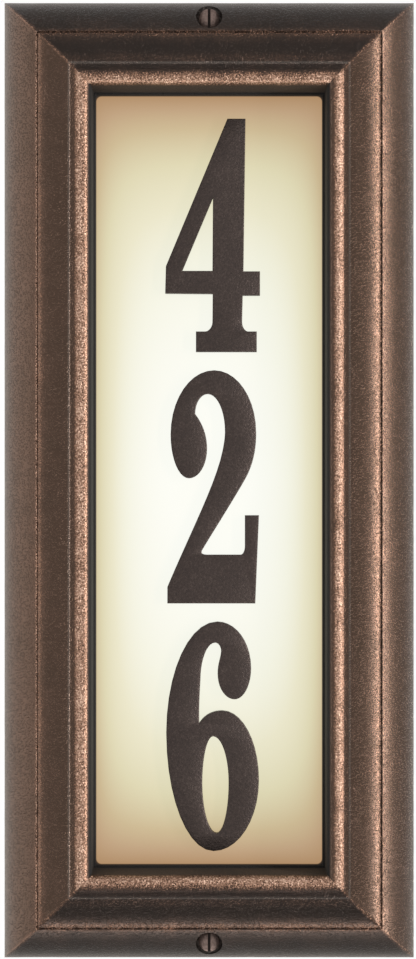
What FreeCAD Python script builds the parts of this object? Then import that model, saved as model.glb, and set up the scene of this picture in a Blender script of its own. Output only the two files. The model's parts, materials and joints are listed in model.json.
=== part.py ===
"""Illuminated house number sign: a mitred cast frame round a glowing lens with three raised numerals.

Millimetres. X runs to the viewer's right, Z up, and the front faces -Y. The wall is the plane Y = 0 and the
origin lies on it, behind the centre of the sign. Heights off the wall are measured along -Y, so a sketch on
a body's XZ plane that is offset by a height lies that far off the wall, and its pads grow towards the viewer.
"""
import FreeCAD, Part
import math
import os
import re
import Sketcher

Vector = FreeCAD.Vector

# Every driving size, in millimetres unless the note says otherwise.
SIZES = {
    "frame_width": (178.0, "cast frame, outside width"),
    "frame_depth": (45.0, "wall to the ridge of the moulding"),
    "skirt_gap": (3.0, "wall to the back edge of the frame"),
    "edge_height": (28.5, "wall to the outer edge, where the face starts to curve"),
    "cast_wall": (3.0, "thickness of the casting"),
    "shoulder_radius": (42.3, "outer convex curve of the moulding"),
    "groove_inset": (14.7, "outer edge to the middle of the V-groove"),
    "groove_drop": (4.4, "ridge down to the lips of the V-groove"),
    "groove_width": (1.5, "V-groove across its lips"),
    "groove_cut": (1.2, "V-groove depth"),
    "face_radius": (33.6, "inner convex curve of the moulding"),
    "ridge_step": (14.5, "middle of the V-groove to the ridge"),
    "ridge_round": (0.9, "radius along the ridge"),
    "bead_step": (5.0, "ridge to the middle of the bead"),
    "bead_drop": (5.7, "ridge down to the middle of the bead"),
    "bead_radius": (3.7, "radius of the bead"),
    "bead_tuck": (10.0, "degrees of the bead hidden at its outer side"),
    "window_step": (1.7, "bead to the window"),
    "window_corner": (2.2, "corner radius of the window"),
    "outer_corner": (1.5, "corner radius of the casting's outline"),
    "lip_height": (24.1, "wall to the back of the window lip"),
    "lip_thick": (2.5, "thickness of the window lip"),
    "lip_round": (0.9, "rounding of the lip's front edge"),
    "lip_lap": (6.0, "width of the seat behind the window lip"),
    "rib_wall": (1.6, "rib round the lens, thickness"),
    "rib_depth": (3.6, "rib round the lens, depth below the lip"),
    "lens_thick": (3.0, "lens sheet"),
    "lens_play": (0.5, "lens edge to its rib"),
    "lens_corner": (3.0, "corner radius of the lens"),
    "gasket_thick": (1.0, "soft ring under the lip"),
    "gasket_setback": (0.6, "window edge to the soft ring"),
    "digit_height": (101.6, "numerals, 4 inch"),
    "digit_thick": (3.0, "numerals"),
    "digit_bevel": (0.45, "bevel round a numeral's face"),
    "digit_gap": (8.0, "numeral to numeral, clear"),
    "digit_shift_x": (1.5, "numeral column, off the centre line"),
    "panel_top": (10.4, "window edge to the top numeral"),
    "panel_bottom": (4.6, "window edge to the bottom numeral"),
    "tape_thick": (0.8, "foam tape behind a numeral"),
    "clip_inset": (25.0, "outer edge to the lens clip's screw"),
    "clip_boss_radius": (3.0, "cast boss under a lens clip"),
    "clip_gauge": (1.5, "lens clip sheet"),
    "clip_width": (8.0, "lens clip"),
    "clip_heel": (4.0, "lens clip behind its screw"),
    "clip_grip": (3.4, "lens clip over the lens"),
    "clip_pitch": (118.0, "lens clip to lens clip up a side"),
    "clip_screw_radius": (1.5, "lens clip screw shank"),
    "clip_screw_length": (8.0, "lens clip screw in its boss"),
    "clip_head_radius": (2.8, "lens clip screw head"),
    "clip_head_thick": (2.0, "lens clip screw head"),
    "screw_inset": (7.6, "outer edge to a frame screw's axis"),
    "screw_radius": (2.0, "frame screw shank, M4"),
    "screw_head_radius": (4.4, "frame screw head"),
    "screw_head_rim": (1.0, "frame screw head's straight rim"),
    "screw_head_crown": (1.8, "frame screw head's crown"),
    "screw_length": (21.5, "frame screw under its head"),
    "slot_width": (1.2, "frame screw slot"),
    "slot_depth": (1.2, "frame screw slot"),
    "recess_radius": (5.7, "recess round a frame screw's head"),
    "recess_floor": (29.4, "wall to the floor of that recess"),
    "screw_boss_radius": (6.5, "cast boss round a frame screw"),
    "shank_play": (0.25, "frame screw in its cast boss, radial"),
    "thread_play": (0.08, "frame screw in its post, radial"),
    "running_gap": (0.05, "face to face play of a turning screw"),
    "retainer_radius": (3.0, "nylon washer that keeps a frame screw captive"),
    "retainer_thick": (1.0, "that washer"),
    "retainer_room": (0.3, "play round that washer"),
    "post_flats": (6.5, "threaded post across its flats"),
    "post_top": (19.8, "wall to the top of a threaded post"),
    "spigot_radius": (2.4, "swaged foot of a post"),
    "post_bore_depth": (14.0, "thread in a post"),
    "post_gap": (0.3, "post to the cast boss"),
    "pan_gauge": (1.5, "back pan sheet"),
    "pan_play": (1.2, "back pan to the inside of the frame"),
    "pan_height": (18.0, "wall to the rim of the back pan"),
    "pan_corner": (6.0, "corner radius of the back pan"),
    "seal_thick": (2.0, "foam wall seal, pressed"),
    "seal_width": (8.0, "foam wall seal"),
    "seal_setback": (1.0, "pan edge to the wall seal"),
    "seal_play": (0.3, "wall seal to the pan's pressed land"),
    "notch_width": (12.0, "notch in the pan's wall beside a post"),
    "wall_hole_radius": (2.5, "wall screw holes"),
    "wall_hole_side": (29.0, "frame's side to the wall screw holes"),
    "wall_hole_end": (57.5, "frame's end to the wall screw holes"),
    "tray_gauge": (0.8, "reflector sheet"),
    "tray_spread": (2.6, "window edge to the reflector's mouth"),
    "tray_slope": (13.0, "reflector wall, mouth to floor, sideways"),
    "tray_rim": (16.0, "wall to the reflector's mouth"),
    "rivet_radius": (1.6, "reflector rivet shank"),
    "rivet_head_radius": (3.0, "reflector rivet head"),
    "rivet_head_thick": (1.0, "reflector rivet head"),
    "rivet_ease": (0.4, "eased rim of the small heads"),
    "rivet_side": (9.0, "reflector floor's side edge to its rivets"),
    "rivet_end": (17.5, "reflector floor's end edge to its rivets"),
    "lamp_height": (10.5, "wall to the lamps' axis"),
    "lamp_radius": (5.0, "wedge lamp bulb"),
    "lamp_length": (26.5, "wedge lamp, base to tip"),
    "lamp_neck": (4.2, "wedge lamp, radius at the neck"),
    "lamp_flare": (2.0, "wedge lamp, neck to full width"),
    "lamp_floor": (1.4, "wedge lamp, glass over the base"),
    "glass_wall": (0.7, "wedge lamp glass"),
    "wedge_width": (9.4, "wedge base"),
    "wedge_thick": (2.4, "wedge base"),
    "wedge_length": (6.6, "wedge base"),
    "socket_play_x": (0.3, "wedge base to its socket, sideways"),
    "socket_play_y": (0.4, "wedge base to its socket, front and back"),
    "socket_play_end": (0.3, "wedge base to the socket's floor"),
    "holder_width": (15.2, "lamp holder block"),
    "holder_length": (24.0, "lamp holder block"),
    "holder_crown": (5.6, "lamp axis to the block's front"),
    "holder_corner": (1.5, "rounding of the block's long edges"),
    "foot_width": (29.0, "lamp holder foot"),
    "foot_length": (12.0, "lamp holder foot"),
    "foot_thick": (2.5, "lamp holder foot"),
    "foot_screw_inset": (3.4, "foot's end to its screw"),
    "foot_screw_radius": (1.45, "foot screw shank"),
    "foot_head_radius": (2.7, "foot screw head"),
    "foot_head_thick": (1.8, "foot screw head"),
    "contact_gauge": (0.25, "contact strips"),
    "contact_width": (3.2, "contact strips"),
    "filament_radius": (0.2, "filament"),
    "filament_span": (4.0, "filament, post to post"),
    "filament_height": (9.0, "posts that hold the filament"),
    "wire_radius": (0.3, "lamp's two posts"),
    "block_side": (6.0, "reflector floor's side edge to the terminal block"),
    "block_z": (-40.0, "terminal block, off the centre"),
    "block_width": (13.0, "terminal block"),
    "block_length": (20.0, "terminal block"),
    "block_height": (12.0, "terminal block"),
    "pole_pitch": (6.5, "terminal to terminal"),
    "well_radius": (2.4, "screw wells of the terminal block"),
    "well_depth": (5.0, "screw wells of the terminal block"),
    "terminal_radius": (2.1, "terminal screws"),
    "terminal_thick": (4.0, "terminal screws"),
    "terminal_slot": (0.8, "terminal screw slot"),
    "feed_radius": (1.6, "supply wire holes of the terminal block"),
    "lead_radius": (0.9, "internal leads"),
    "lead_play": (0.05, "lead to its hole, radial"),
    "lead_height": (7.0, "wall to the leads' centres"),
    "lead_pitch": (8.0, "lead to lead at the lamp holder"),
    "lead_reach": (2.2, "lead inside the lamp holder"),
    "lead_tail": (6.0, "lead inside the terminal block"),
    "entry_side": (3.5, "reflector floor's side edge to the grommet's flange"),
    "entry_z": (-78.0, "supply entry, off the centre"),
    "entry_radius": (6.0, "supply entry hole"),
    "grommet_bore": (4.0, "grommet, inner radius"),
    "grommet_flange": (9.0, "grommet flange radius"),
    "grommet_lip": (2.0, "grommet flange thickness"),
}

# Sizes that follow from those above.
DERIVED = {
    "ridge_inset": ("groove_inset + ridge_step", "outer edge to the ridge"),
    "bead_inset": ("ridge_inset + bead_step", "outer edge to the middle of the bead"),
    "border_width": ("bead_inset + bead_radius + window_step", "outer edge to the window"),
    "frame_height": ("2 * border_width + panel_top + 3 * digit_height + 2 * digit_gap + panel_bottom",
                     "cast frame, outside height: 415 with 4 inch numerals"),
    "tray_floor_x": ("frame_width / 2 - border_width + tray_spread - tray_slope",
                     "reflector floor, half width"),
    "tray_floor_z": ("frame_height / 2 - border_width + tray_spread - tray_slope",
                     "reflector floor, half height"),
    "block_x": ("tray_floor_x - block_side - block_width / 2", "terminal block, off the centre line"),
    "entry_x": ("tray_floor_x - entry_side - grommet_flange", "supply entry, off the centre line"),
}

DRAWN_HEIGHT = 101.6    # the numerals' outlines below are drawn this tall
HANDLE = 0.5523         # handle of a cubic curve that follows a quarter of an ellipse
BEND_SHARE = 0.45       # bend radius of a lead, as a share of its shorter run

doc = FreeCAD.newDocument("house_number_sign")
sheet = doc.addObject("Spreadsheet::Sheet", "sizes")
for row, (alias, (value, note)) in enumerate((SIZES | DERIVED).items(), start=1):
    sheet.set(f"A{row}", f"={value}")
    sheet.setAlias(f"A{row}", alias)
    sheet.set(f"B{row}", note)
doc.recompute()


# Expressions ---------------------------------------------------------------------------------------------

def bound(expression):
    """An expression of plain size names, in the terms that the document's expressions use."""
    known = SIZES | DERIVED

    def renamed(word):
        return f"sizes.{word.group()}" if word.group() in known else word.group()

    return re.sub(r"[a-z]\w*", renamed, str(expression))


def value_of(expression):
    """The number that an expression of size names gives."""
    result = sheet.evalExpression(bound(expression))
    return float(getattr(result, "Value", result))


def mirrored(sign, expression):
    """The expression, or its negative."""
    return f"({expression})" if sign > 0 else f"-({expression})"


# Places that several pieces share ------------------------------------------------------------------------

WINDOW_X = "(frame_width / 2 - border_width)"
WINDOW_Z = "(frame_height / 2 - border_width)"
LENS_X = f"({WINDOW_X} + lip_lap - lens_play)"
LENS_Z = f"({WINDOW_Z} + lip_lap - lens_play)"
LENS_FACE = "(lip_height - gasket_thick)"
LENS_BACK = f"({LENS_FACE} - lens_thick)"
PAN_X = "(frame_width / 2 - cast_wall - pan_play)"
PAN_Z = "(frame_height / 2 - cast_wall - pan_play)"
LAND_INSET = "(seal_setback + seal_width + seal_play)"
TRAY_FLOOR = "(pan_gauge + tray_gauge)"
SCREW_Z = "(frame_height / 2 - screw_inset)"
BOSS_FOOT = "(post_top + post_gap)"
CROWN_RADIUS = "((screw_head_radius ^ 2 + screw_head_crown ^ 2) / (2 * screw_head_crown))"
HOLDER_END = "(holder_length / 2)"
SOCKET_X = "(wedge_width / 2 + socket_play_x)"
SOCKET_Y = "(wedge_thick / 2 + socket_play_y)"
SOCKET_FLOOR = f"({HOLDER_END} - wedge_length - socket_play_end)"
LAMP_BASE = f"({SOCKET_FLOOR} + socket_play_end)"
CLIP_SIDE_X = "(frame_width / 2 - clip_inset)"
CLIP_END_Z = "(frame_height / 2 - clip_inset)"
CLIP_SIDES = [(sign, z) for sign in (1, -1) for z in ("-clip_pitch", "0", "clip_pitch")]
CLIP_SPOTS = [(mirrored(sign, CLIP_SIDE_X), z) for sign, z in CLIP_SIDES]
CLIP_SPOTS += [("0", mirrored(sign, CLIP_END_Z)) for sign in (1, -1)]
SCREW_SPOTS = [("0", mirrored(sign, SCREW_Z)) for sign in (1, -1)]
WALL_HOLE_X = "frame_width / 2 - wall_hole_side"
WALL_HOLE_Z = "frame_height / 2 - wall_hole_end"
WALL_SPOTS = [(mirrored(a, WALL_HOLE_X), mirrored(b, WALL_HOLE_Z)) for a in (1, -1) for b in (1, -1)]
RIVET_SPOTS = [(mirrored(a, "tray_floor_x - rivet_side"), mirrored(b, "tray_floor_z - rivet_end"))
               for a in (1, -1) for b in (1, -1)]
FOOT_SPOTS = [(mirrored(a, "foot_width / 2 - foot_screw_inset"), "0") for a in (1, -1)]
ENTRY_SPOT = ("entry_x", "entry_z")
POLE_SPOTS = [(f"block_x + {mirrored(a, 'pole_pitch / 2')}", "block_z") for a in (-1, 1)]


# Sketches and features -----------------------------------------------------------------------------------

def new_body(name):
    """A PartDesign body, which may hold several like solids."""
    body = doc.addObject("PartDesign::Body", name)
    body.AllowCompound = True
    return body


def origin_plane(body, role):
    return next(feature for feature in body.Origin.OriginFeatures if feature.Role == role)


def new_sketch(body, name, role, offsets):
    """A sketch on one of the body's own origin planes, moved by bound offsets along its local axes."""
    sketch = body.newObject("Sketcher::SketchObject", f"{body.Name}_{name}")
    sketch.AttachmentSupport = [(origin_plane(body, role), "")]
    sketch.MapMode = "FlatFace"
    for axis, expression in offsets.items():
        sketch.setExpression(f"AttachmentOffset.Base.{axis}", bound(expression))
    return sketch


def face_sketch(body, name, height):
    """A sketch parallel to the wall, at a height off it."""
    return new_sketch(body, name, "XZ_Plane", {"z": height})


def pin(sketch, geometry, point, x, y):
    """Binds one point of a sketch to a pair of expressions."""
    for kind, expression in (("DistanceX", x), ("DistanceY", y)):
        index = sketch.addConstraint(Sketcher.Constraint(kind, geometry, point, value_of(expression)))
        sketch.setExpression(f"Constraints[{index}]", bound(expression))


def bind_radius(sketch, geometry, radius):
    index = sketch.addConstraint(Sketcher.Constraint("Radius", geometry, value_of(radius)))
    sketch.setExpression(f"Constraints[{index}]", bound(radius))


def arc_between(start, end, radius, turn):
    """The minor arc from start to end: turn is 1 for anticlockwise and -1 for clockwise."""
    chord = end - start
    middle = (start + end) * 0.5
    rise = math.sqrt(max(radius ** 2 - (chord.Length / 2) ** 2, 0.0))
    side = Vector(-chord.y, chord.x, 0).normalize() * turn
    centre = middle + side * rise
    first, last = (start, end) if turn > 0 else (end, start)
    angles = [math.atan2(point.y - centre.y, point.x - centre.x) for point in (first, last)]
    if angles[1] < angles[0]:
        angles[1] += 2 * math.pi
    return Part.ArcOfCircle(Part.Circle(centre, Vector(0, 0, 1), radius), *angles)


def outline(sketch, corners):
    """A closed outline. A corner is (x, y), or (x, y, radius, turn) where an arc leaves it."""
    points = [Vector(value_of(corner[0]), value_of(corner[1]), 0) for corner in corners]
    edges = []
    for index, corner in enumerate(corners):
        start, end = points[index], points[(index + 1) % len(points)]
        if len(corner) == 2:
            edges.append((sketch.addGeometry(Part.LineSegment(start, end), False), 1, 2))
            continue
        arc = arc_between(start, end, value_of(corner[2]), corner[3])
        ends = (1, 2) if corner[3] > 0 else (2, 1)
        edges.append((sketch.addGeometry(arc, False), *ends))
    for index, (geometry, first, last) in enumerate(edges):
        following = edges[(index + 1) % len(edges)]
        sketch.addConstraint(Sketcher.Constraint("Coincident", geometry, last, following[0], following[1]))
    for (geometry, first, last), corner in zip(edges, corners):
        pin(sketch, geometry, first, corner[0], corner[1])
        if len(corner) == 4:
            bind_radius(sketch, geometry, corner[2])


def rectangle(sketch, low_x, low_z, high_x, high_z, corner=None):
    """A rectangle between two corners, with rounded corners where a radius is given."""
    if corner is None:
        outline(sketch, [(low_x, low_z), (high_x, low_z), (high_x, high_z), (low_x, high_z)])
        return
    outline(sketch, [
        (f"{low_x} + {corner}", low_z), (f"{high_x} - {corner}", low_z, corner, 1),
        (high_x, f"{low_z} + {corner}"), (high_x, f"{high_z} - {corner}", corner, 1),
        (f"{high_x} - {corner}", high_z), (f"{low_x} + {corner}", high_z, corner, 1),
        (low_x, f"{high_z} - {corner}"), (low_x, f"{low_z} + {corner}", corner, 1)])


def centred(sketch, half_x, half_z, corner=None):
    """A rectangle about the sketch's origin."""
    rectangle(sketch, f"-{half_x}", f"-{half_z}", half_x, half_z, corner)


def circles(sketch, spots, radius):
    """Equal circles at several places."""
    for x, z in spots:
        circle = Part.Circle(Vector(value_of(x), value_of(z), 0), Vector(0, 0, 1), value_of(radius))
        geometry = sketch.addGeometry(circle, False)
        pin(sketch, geometry, 3, x, z)
        bind_radius(sketch, geometry, radius)


def extruded(kind, body, sketch, length, backwards=False):
    feature = body.newObject(f"PartDesign::{kind}", f"{sketch.Name}_{kind.lower()}")
    feature.Profile = sketch
    feature.setExpression("Length", bound(length))
    feature.Reversed = backwards
    return feature


def pad(body, sketch, length):
    """Adds material from the sketch towards the viewer."""
    return extruded("Pad", body, sketch, length)


def pocket(body, sketch, length):
    """Cuts from the sketch towards the wall."""
    return extruded("Pocket", body, sketch, length)


def lathe(body, name, corners, x="0", z="0"):
    """A solid turned about an axis square to the wall: each corner starts with a radius and a height."""
    sketch = new_sketch(body, name, "YZ_Plane", {"y": z, "z": x})
    outline(sketch, [(f"-({corner[1]})", corner[0], *corner[2:]) for corner in corners])
    turned = body.newObject("PartDesign::Revolution", f"{sketch.Name}_turned")
    turned.Profile = sketch
    turned.ReferenceAxis = (sketch, ["H_Axis"])
    turned.Angle = 360
    return turned


def dressed(kind, body, name, size, chosen):
    """A Fillet or Chamfer on the edges of the body's tip that the test picks."""
    doc.recompute()
    base = body.Tip
    edges = [f"Edge{number}" for number, edge in enumerate(base.Shape.Edges, start=1) if chosen(edge)]
    feature = body.newObject(f"PartDesign::{kind}", f"{body.Name}_{name}")
    feature.Base = (base, edges)
    feature.setExpression("Radius" if kind == "Fillet" else "Size", bound(size))
    return feature


def at_height(edge, height):
    """True for an edge that lies wholly at one height off the wall."""
    box = edge.BoundBox
    level = -value_of(height)
    return abs(box.YMin - level) < 1e-4 and abs(box.YMax - level) < 1e-4


def swept(body, corners):
    """The moulding's section, given as insets and heights, carried round the frame with mitred corners."""
    spine = new_sketch(body, "spine", "XZ_Plane", {})
    side, top = "frame_width / 2", "frame_height / 2"
    outline(spine, [(side, "0"), (side, top), (f"-{side}", top), (f"-{side}", f"-{top}"), (side, f"-{top}")])
    section = new_sketch(body, "section", "XY_Plane", {})
    outline(section, [(f"{side} - ({corner[0]})", f"-({corner[1]})", *corner[2:]) for corner in corners])
    pipe = body.newObject("PartDesign::AdditivePipe", f"{body.Name}_pipe")
    pipe.Profile = section
    pipe.Spine = (spine, [])
    pipe.Transition = "Right corner"


def combined(kind, name, base, tool):
    """A boolean of two objects."""
    feature = doc.addObject(f"Part::{kind}", name)
    feature.Base = base
    feature.Tool = tool
    feature.Refine = True
    return feature


# The cast frame ------------------------------------------------------------------------------------------

MOULDING_FACE = [
    ("0", "skirt_gap"),
    ("0", "edge_height", "shoulder_radius", -1),
    ("groove_inset - groove_width / 2", "frame_depth - groove_drop"),
    ("groove_inset", "frame_depth - groove_drop - groove_cut"),
    ("groove_inset + groove_width / 2", "frame_depth - groove_drop", "face_radius", -1),
    ("ridge_inset - ridge_round", "frame_depth", "ridge_round", -1),
    ("ridge_inset", "frame_depth - ridge_round"),
    ("bead_inset - bead_radius * cos(bead_tuck)", "frame_depth - bead_drop + bead_radius * sin(bead_tuck)",
     "bead_radius", -1),
    ("bead_inset", "frame_depth - bead_drop + bead_radius", "bead_radius", -1),
    ("bead_inset + bead_radius", "frame_depth - bead_drop"),
    ("border_width - lip_round", "lip_height + lip_thick", "lip_round", -1),
    ("border_width", "lip_height + lip_thick - lip_round"),
]
MOULDING_BACK = [
    ("border_width", "lip_height"),
    ("border_width - lip_lap", "lip_height"),
    ("border_width - lip_lap", "lip_height - rib_depth"),
    ("border_width - lip_lap - rib_wall", "lip_height - rib_depth"),
    ("border_width - lip_lap - rib_wall", "lip_height + lip_lap"),
    ("bead_inset - bead_radius - cast_wall", "frame_depth - bead_drop"),
    ("ridge_inset - cast_wall", "frame_depth - cast_wall - ridge_round"),
    ("groove_inset", "frame_depth - groove_drop - groove_cut - cast_wall", "shoulder_radius - cast_wall", 1),
    ("cast_wall", "edge_height"),
    ("cast_wall", "skirt_gap"),
]


def front_frame():
    """The casting: a hollow mitred moulding with bosses for its two screws and for the lens clips."""
    shell = new_body("frame_shell")
    swept(shell, MOULDING_FACE + MOULDING_BACK)
    envelope = new_body("frame_envelope")
    swept(envelope, MOULDING_FACE + [("border_width", "skirt_gap")])

    bosses = new_body("frame_bosses")
    columns = face_sketch(bosses, "columns", BOSS_FOOT)
    circles(columns, SCREW_SPOTS, "screw_boss_radius")
    pad(bosses, columns, f"frame_depth - {BOSS_FOOT}")
    pegs = face_sketch(bosses, "pegs", LENS_BACK)
    circles(pegs, CLIP_SPOTS, "clip_boss_radius")
    pad(bosses, pegs, f"frame_depth - {LENS_BACK}")

    drills = new_body("frame_drills")
    recesses = face_sketch(drills, "recesses", "recess_floor")
    circles(recesses, SCREW_SPOTS, "recess_radius")
    pad(drills, recesses, "frame_depth - recess_floor")
    shanks = face_sketch(drills, "shanks", BOSS_FOOT)
    circles(shanks, SCREW_SPOTS, "screw_radius + shank_play")
    pad(drills, shanks, f"recess_floor - {BOSS_FOOT}")
    pockets = face_sketch(drills, "pockets", BOSS_FOOT)
    circles(pockets, SCREW_SPOTS, "retainer_radius + retainer_room")
    pad(drills, pockets, "retainer_thick + 2 * retainer_room")
    pilots = face_sketch(drills, "pilots", LENS_BACK)
    circles(pilots, CLIP_SPOTS, "clip_screw_radius")
    pad(drills, pilots, "clip_screw_length")

    rounded = new_body("frame_window")
    ring = face_sketch(rounded, "ring", "lip_height")
    centred(ring, f"({WINDOW_X} + lip_round)", f"({WINDOW_Z} + lip_round)")
    centred(ring, WINDOW_X, WINDOW_Z, "window_corner")
    pad(rounded, ring, "lip_thick - lip_round")
    block = new_body("frame_outline")
    rim = face_sketch(block, "rim", "0")
    centred(rim, "frame_width / 2", "frame_height / 2", "outer_corner")
    pad(block, rim, "frame_depth + skirt_gap")

    trimmed = combined("Common", "frame_trimmed_bosses", bosses, envelope)
    joined = combined("Fuse", "frame_with_bosses", shell, trimmed)
    windowed = combined("Fuse", "frame_with_window", joined, rounded)
    casting = combined("Common", "frame_casting", windowed, block)
    return combined("Cut", "front_frame", casting, drills)


# What the frame carries ----------------------------------------------------------------------------------

def lens():
    body = new_body("lens")
    sketch = face_sketch(body, "sheet", LENS_BACK)
    centred(sketch, LENS_X, LENS_Z, "lens_corner")
    pad(body, sketch, "lens_thick")
    return body


def lens_gasket():
    body = new_body("lens_gasket")
    sketch = face_sketch(body, "ring", LENS_FACE)
    centred(sketch, LENS_X, LENS_Z, "lens_corner")
    centred(sketch, f"({WINDOW_X} + gasket_setback)", f"({WINDOW_Z} + gasket_setback)", "lens_corner")
    pad(body, sketch, "gasket_thick")
    return body


def lens_clips():
    """Flat clips, each screwed to a boss beside the lens and gripping the lens's edge."""
    body = new_body("lens_clips")
    sketch = face_sketch(body, "blanks", f"({LENS_BACK} - clip_gauge)")
    half = "clip_width / 2"
    for sign, z in CLIP_SIDES:
        ends = [mirrored(sign, f"{CLIP_SIDE_X} + clip_heel"), mirrored(sign, f"{LENS_X} - clip_grip")]
        rectangle(sketch, ends[sign > 0], f"{z} - {half}", ends[sign < 0], f"{z} + {half}")
    for sign in (1, -1):
        ends = [mirrored(sign, f"{CLIP_END_Z} + clip_heel"), mirrored(sign, f"{LENS_Z} - clip_grip")]
        rectangle(sketch, f"-{half}", ends[sign > 0], half, ends[sign < 0])
    circles(sketch, CLIP_SPOTS, "clip_screw_radius")
    pad(body, sketch, "clip_gauge")
    return body


def clip_screws():
    body = new_body("clip_screws")
    shanks = face_sketch(body, "shanks", f"({LENS_BACK} - clip_gauge)")
    circles(shanks, CLIP_SPOTS, "clip_screw_radius")
    pad(body, shanks, "clip_gauge + clip_screw_length")
    heads = face_sketch(body, "heads", f"({LENS_BACK} - clip_gauge - clip_head_thick)")
    circles(heads, CLIP_SPOTS, "clip_head_radius")
    pad(body, heads, "clip_head_thick")
    return body


# The numerals --------------------------------------------------------------------------------------------
# Outlines in the type designer's way, 101.6 mm tall, from the lower left of each numeral: "to" draws a
# straight edge, "over" a quarter turn that leaves sideways, "up" a quarter turn that leaves upright, and
# "via" a cubic curve with its two handles. Tape pads are rectangles inside the strokes, corner to corner.

SCALE = f"(digit_height / {DRAWN_HEIGHT})"

FOUR = [[(27.1, 101.6), ("to", 35.0, 101.6), ("to", 34.1, 35.1), ("to", 41.3, 35.1), ("to", 41.3, 24.6),
         ("to", 33.8, 24.6), ("to", 33.5, 13.3), ("up", 36.2, 8.9), ("to", 39.9, 8.9), ("to", 39.9, 0.0),
         ("to", 13.4, 0.0), ("to", 13.4, 8.9), ("to", 17.3, 8.9), ("over", 20.6, 13.3), ("to", 20.7, 25.3),
         ("to", 0.0, 25.5), ("to", 0.3, 37.3), ("to", 27.1, 101.6)],
        [(7.4, 35.3), ("to", 20.6, 35.3), ("to", 20.8, 67.2), ("to", 7.4, 35.3)]]
FOUR_PADS = [(22.5, 40.0, 32.0, 88.0), (16.5, 1.5, 37.0, 7.5), (3.0, 27.0, 19.0, 34.0)]
TWO = [[(20.6, 101.6), ("over", 38.9, 74.3), ("via", 38.9, 67.5, 37.8, 62.0, 35.3, 56.5),
        ("via", 32.9, 51.3, 17.6, 27.2, 15.4, 23.3), ("via", 14.6, 21.9, 15.4, 21.2, 17.5, 21.2),
        ("to", 32.2, 21.2), ("over", 34.0, 25.0), ("to", 34.0, 38.4), ("to", 40.1, 38.4), ("to", 38.5, 0.0),
        ("to", 0.2, 0.0), ("to", 0.2, 7.2), ("via", 10.0, 30.5, 21.5, 52.5, 24.3, 66.8),
        ("via", 24.9, 69.8, 25.3, 72.4, 25.3, 75.0), ("up", 17.8, 91.3), ("over", 12.3, 82.6),
        ("via", 15.4, 78.5, 17.5, 73.5, 17.5, 67.5), ("up", 9.6, 54.5), ("over", 1.6, 73.6),
        ("up", 20.6, 101.6)]]
TWO_PADS = [(5.5, 2.0, 36.0, 14.0), (27.0, 62.0, 36.0, 82.0), (5.0, 61.0, 14.0, 75.0)]
SIX = [[(22.3, 101.6), ("over", 37.0, 81.5), ("up", 29.8, 67.8), ("over", 22.4, 79.0),
        ("via", 22.4, 83.5, 23.9, 86.0, 23.9, 88.8), ("up", 21.3, 92.5), ("over", 14.9, 76.0),
        ("via", 14.4, 68.0, 14.2, 61.5, 14.4, 57.4), ("via", 16.6, 60.9, 20.0, 62.8, 24.4, 62.8),
        ("over", 40.4, 32.7), ("up", 20.6, 0.0), ("over", 0.0, 53.3), ("up", 22.3, 101.6)],
       [(20.4, 51.7), ("over", 27.2, 31.3), ("up", 22.0, 8.0), ("over", 15.7, 31.3), ("up", 20.4, 51.7)]]
SIX_PADS = [(3.0, 34.0, 12.5, 68.0), (29.0, 18.0, 37.5, 48.0), (24.5, 72.0, 34.0, 84.0)]
# name, outlines (the outer one first), tape pads, drawn width, place above the bottom one
NUMERALS = [("digit_four", FOUR, FOUR_PADS, 41.3, 2), ("digit_two", TWO, TWO_PADS, 40.2, 1),
            ("digit_six", SIX, SIX_PADS, 40.4, 0)]


def numeral_corner(width, place):
    """The lower left corner of a numeral, as expressions."""
    return (f"(digit_shift_x - {width} / 2 * {SCALE})",
            f"(panel_bottom - {WINDOW_Z} + {place} * (digit_height + digit_gap))")


def quarter(start, end, sideways):
    """The handles of a quarter turn, which leaves start along X when sideways and arrives square to that."""
    across, rise = (end.x - start.x) * HANDLE, (end.z - start.z) * HANDLE
    if sideways:
        return start + Vector(across, 0, 0), end - Vector(0, 0, rise)
    return start + Vector(0, 0, rise), end - Vector(across, 0, 0)


def numeral_poles(strokes, scale):
    """The poles of each edge of one outline, in the XZ plane."""
    pen = Vector(strokes[0][0], 0, strokes[0][1]) * scale
    edges = []
    for kind, *numbers in strokes[1:]:
        points = [Vector(x, 0, z) * scale for x, z in zip(numbers[::2], numbers[1::2])]
        if kind in ("over", "up"):
            points = [*quarter(pen, points[-1], kind == "over"), points[-1]]
        edges.append([pen, *points])
        pen = points[-1]
    return edges


def inset_poles(edges, inset):
    """The outline moved to its left by an inset, with mitred corners: each edge keeps its end directions."""
    def left(start, end):
        step = (end - start).normalize()
        return Vector(-step.z, 0, step.x)
    shifts = []
    for before, after in zip([edges[-1], *edges[:-1]], edges):
        one, other = left(*before[-2:]), left(*after[:2])
        shifts.append((one + other) * (inset / (1 + one.dot(other))))
    moved = []
    for poles, first, last in zip(edges, shifts, shifts[1:] + shifts[:1]):
        half = len(poles) // 2
        moved.append([pole + (first if index < half else last) for index, pole in enumerate(poles)])
    return moved


def drawn(edges, height):
    """The edges of an outline at a height off the wall."""
    lift = Vector(0, -height, 0)
    shapes = []
    for poles in edges:
        curve = Part.BezierCurve()
        curve.setPoles([pole + lift for pole in poles])
        shapes.append(curve.toShape())
    return shapes


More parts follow.
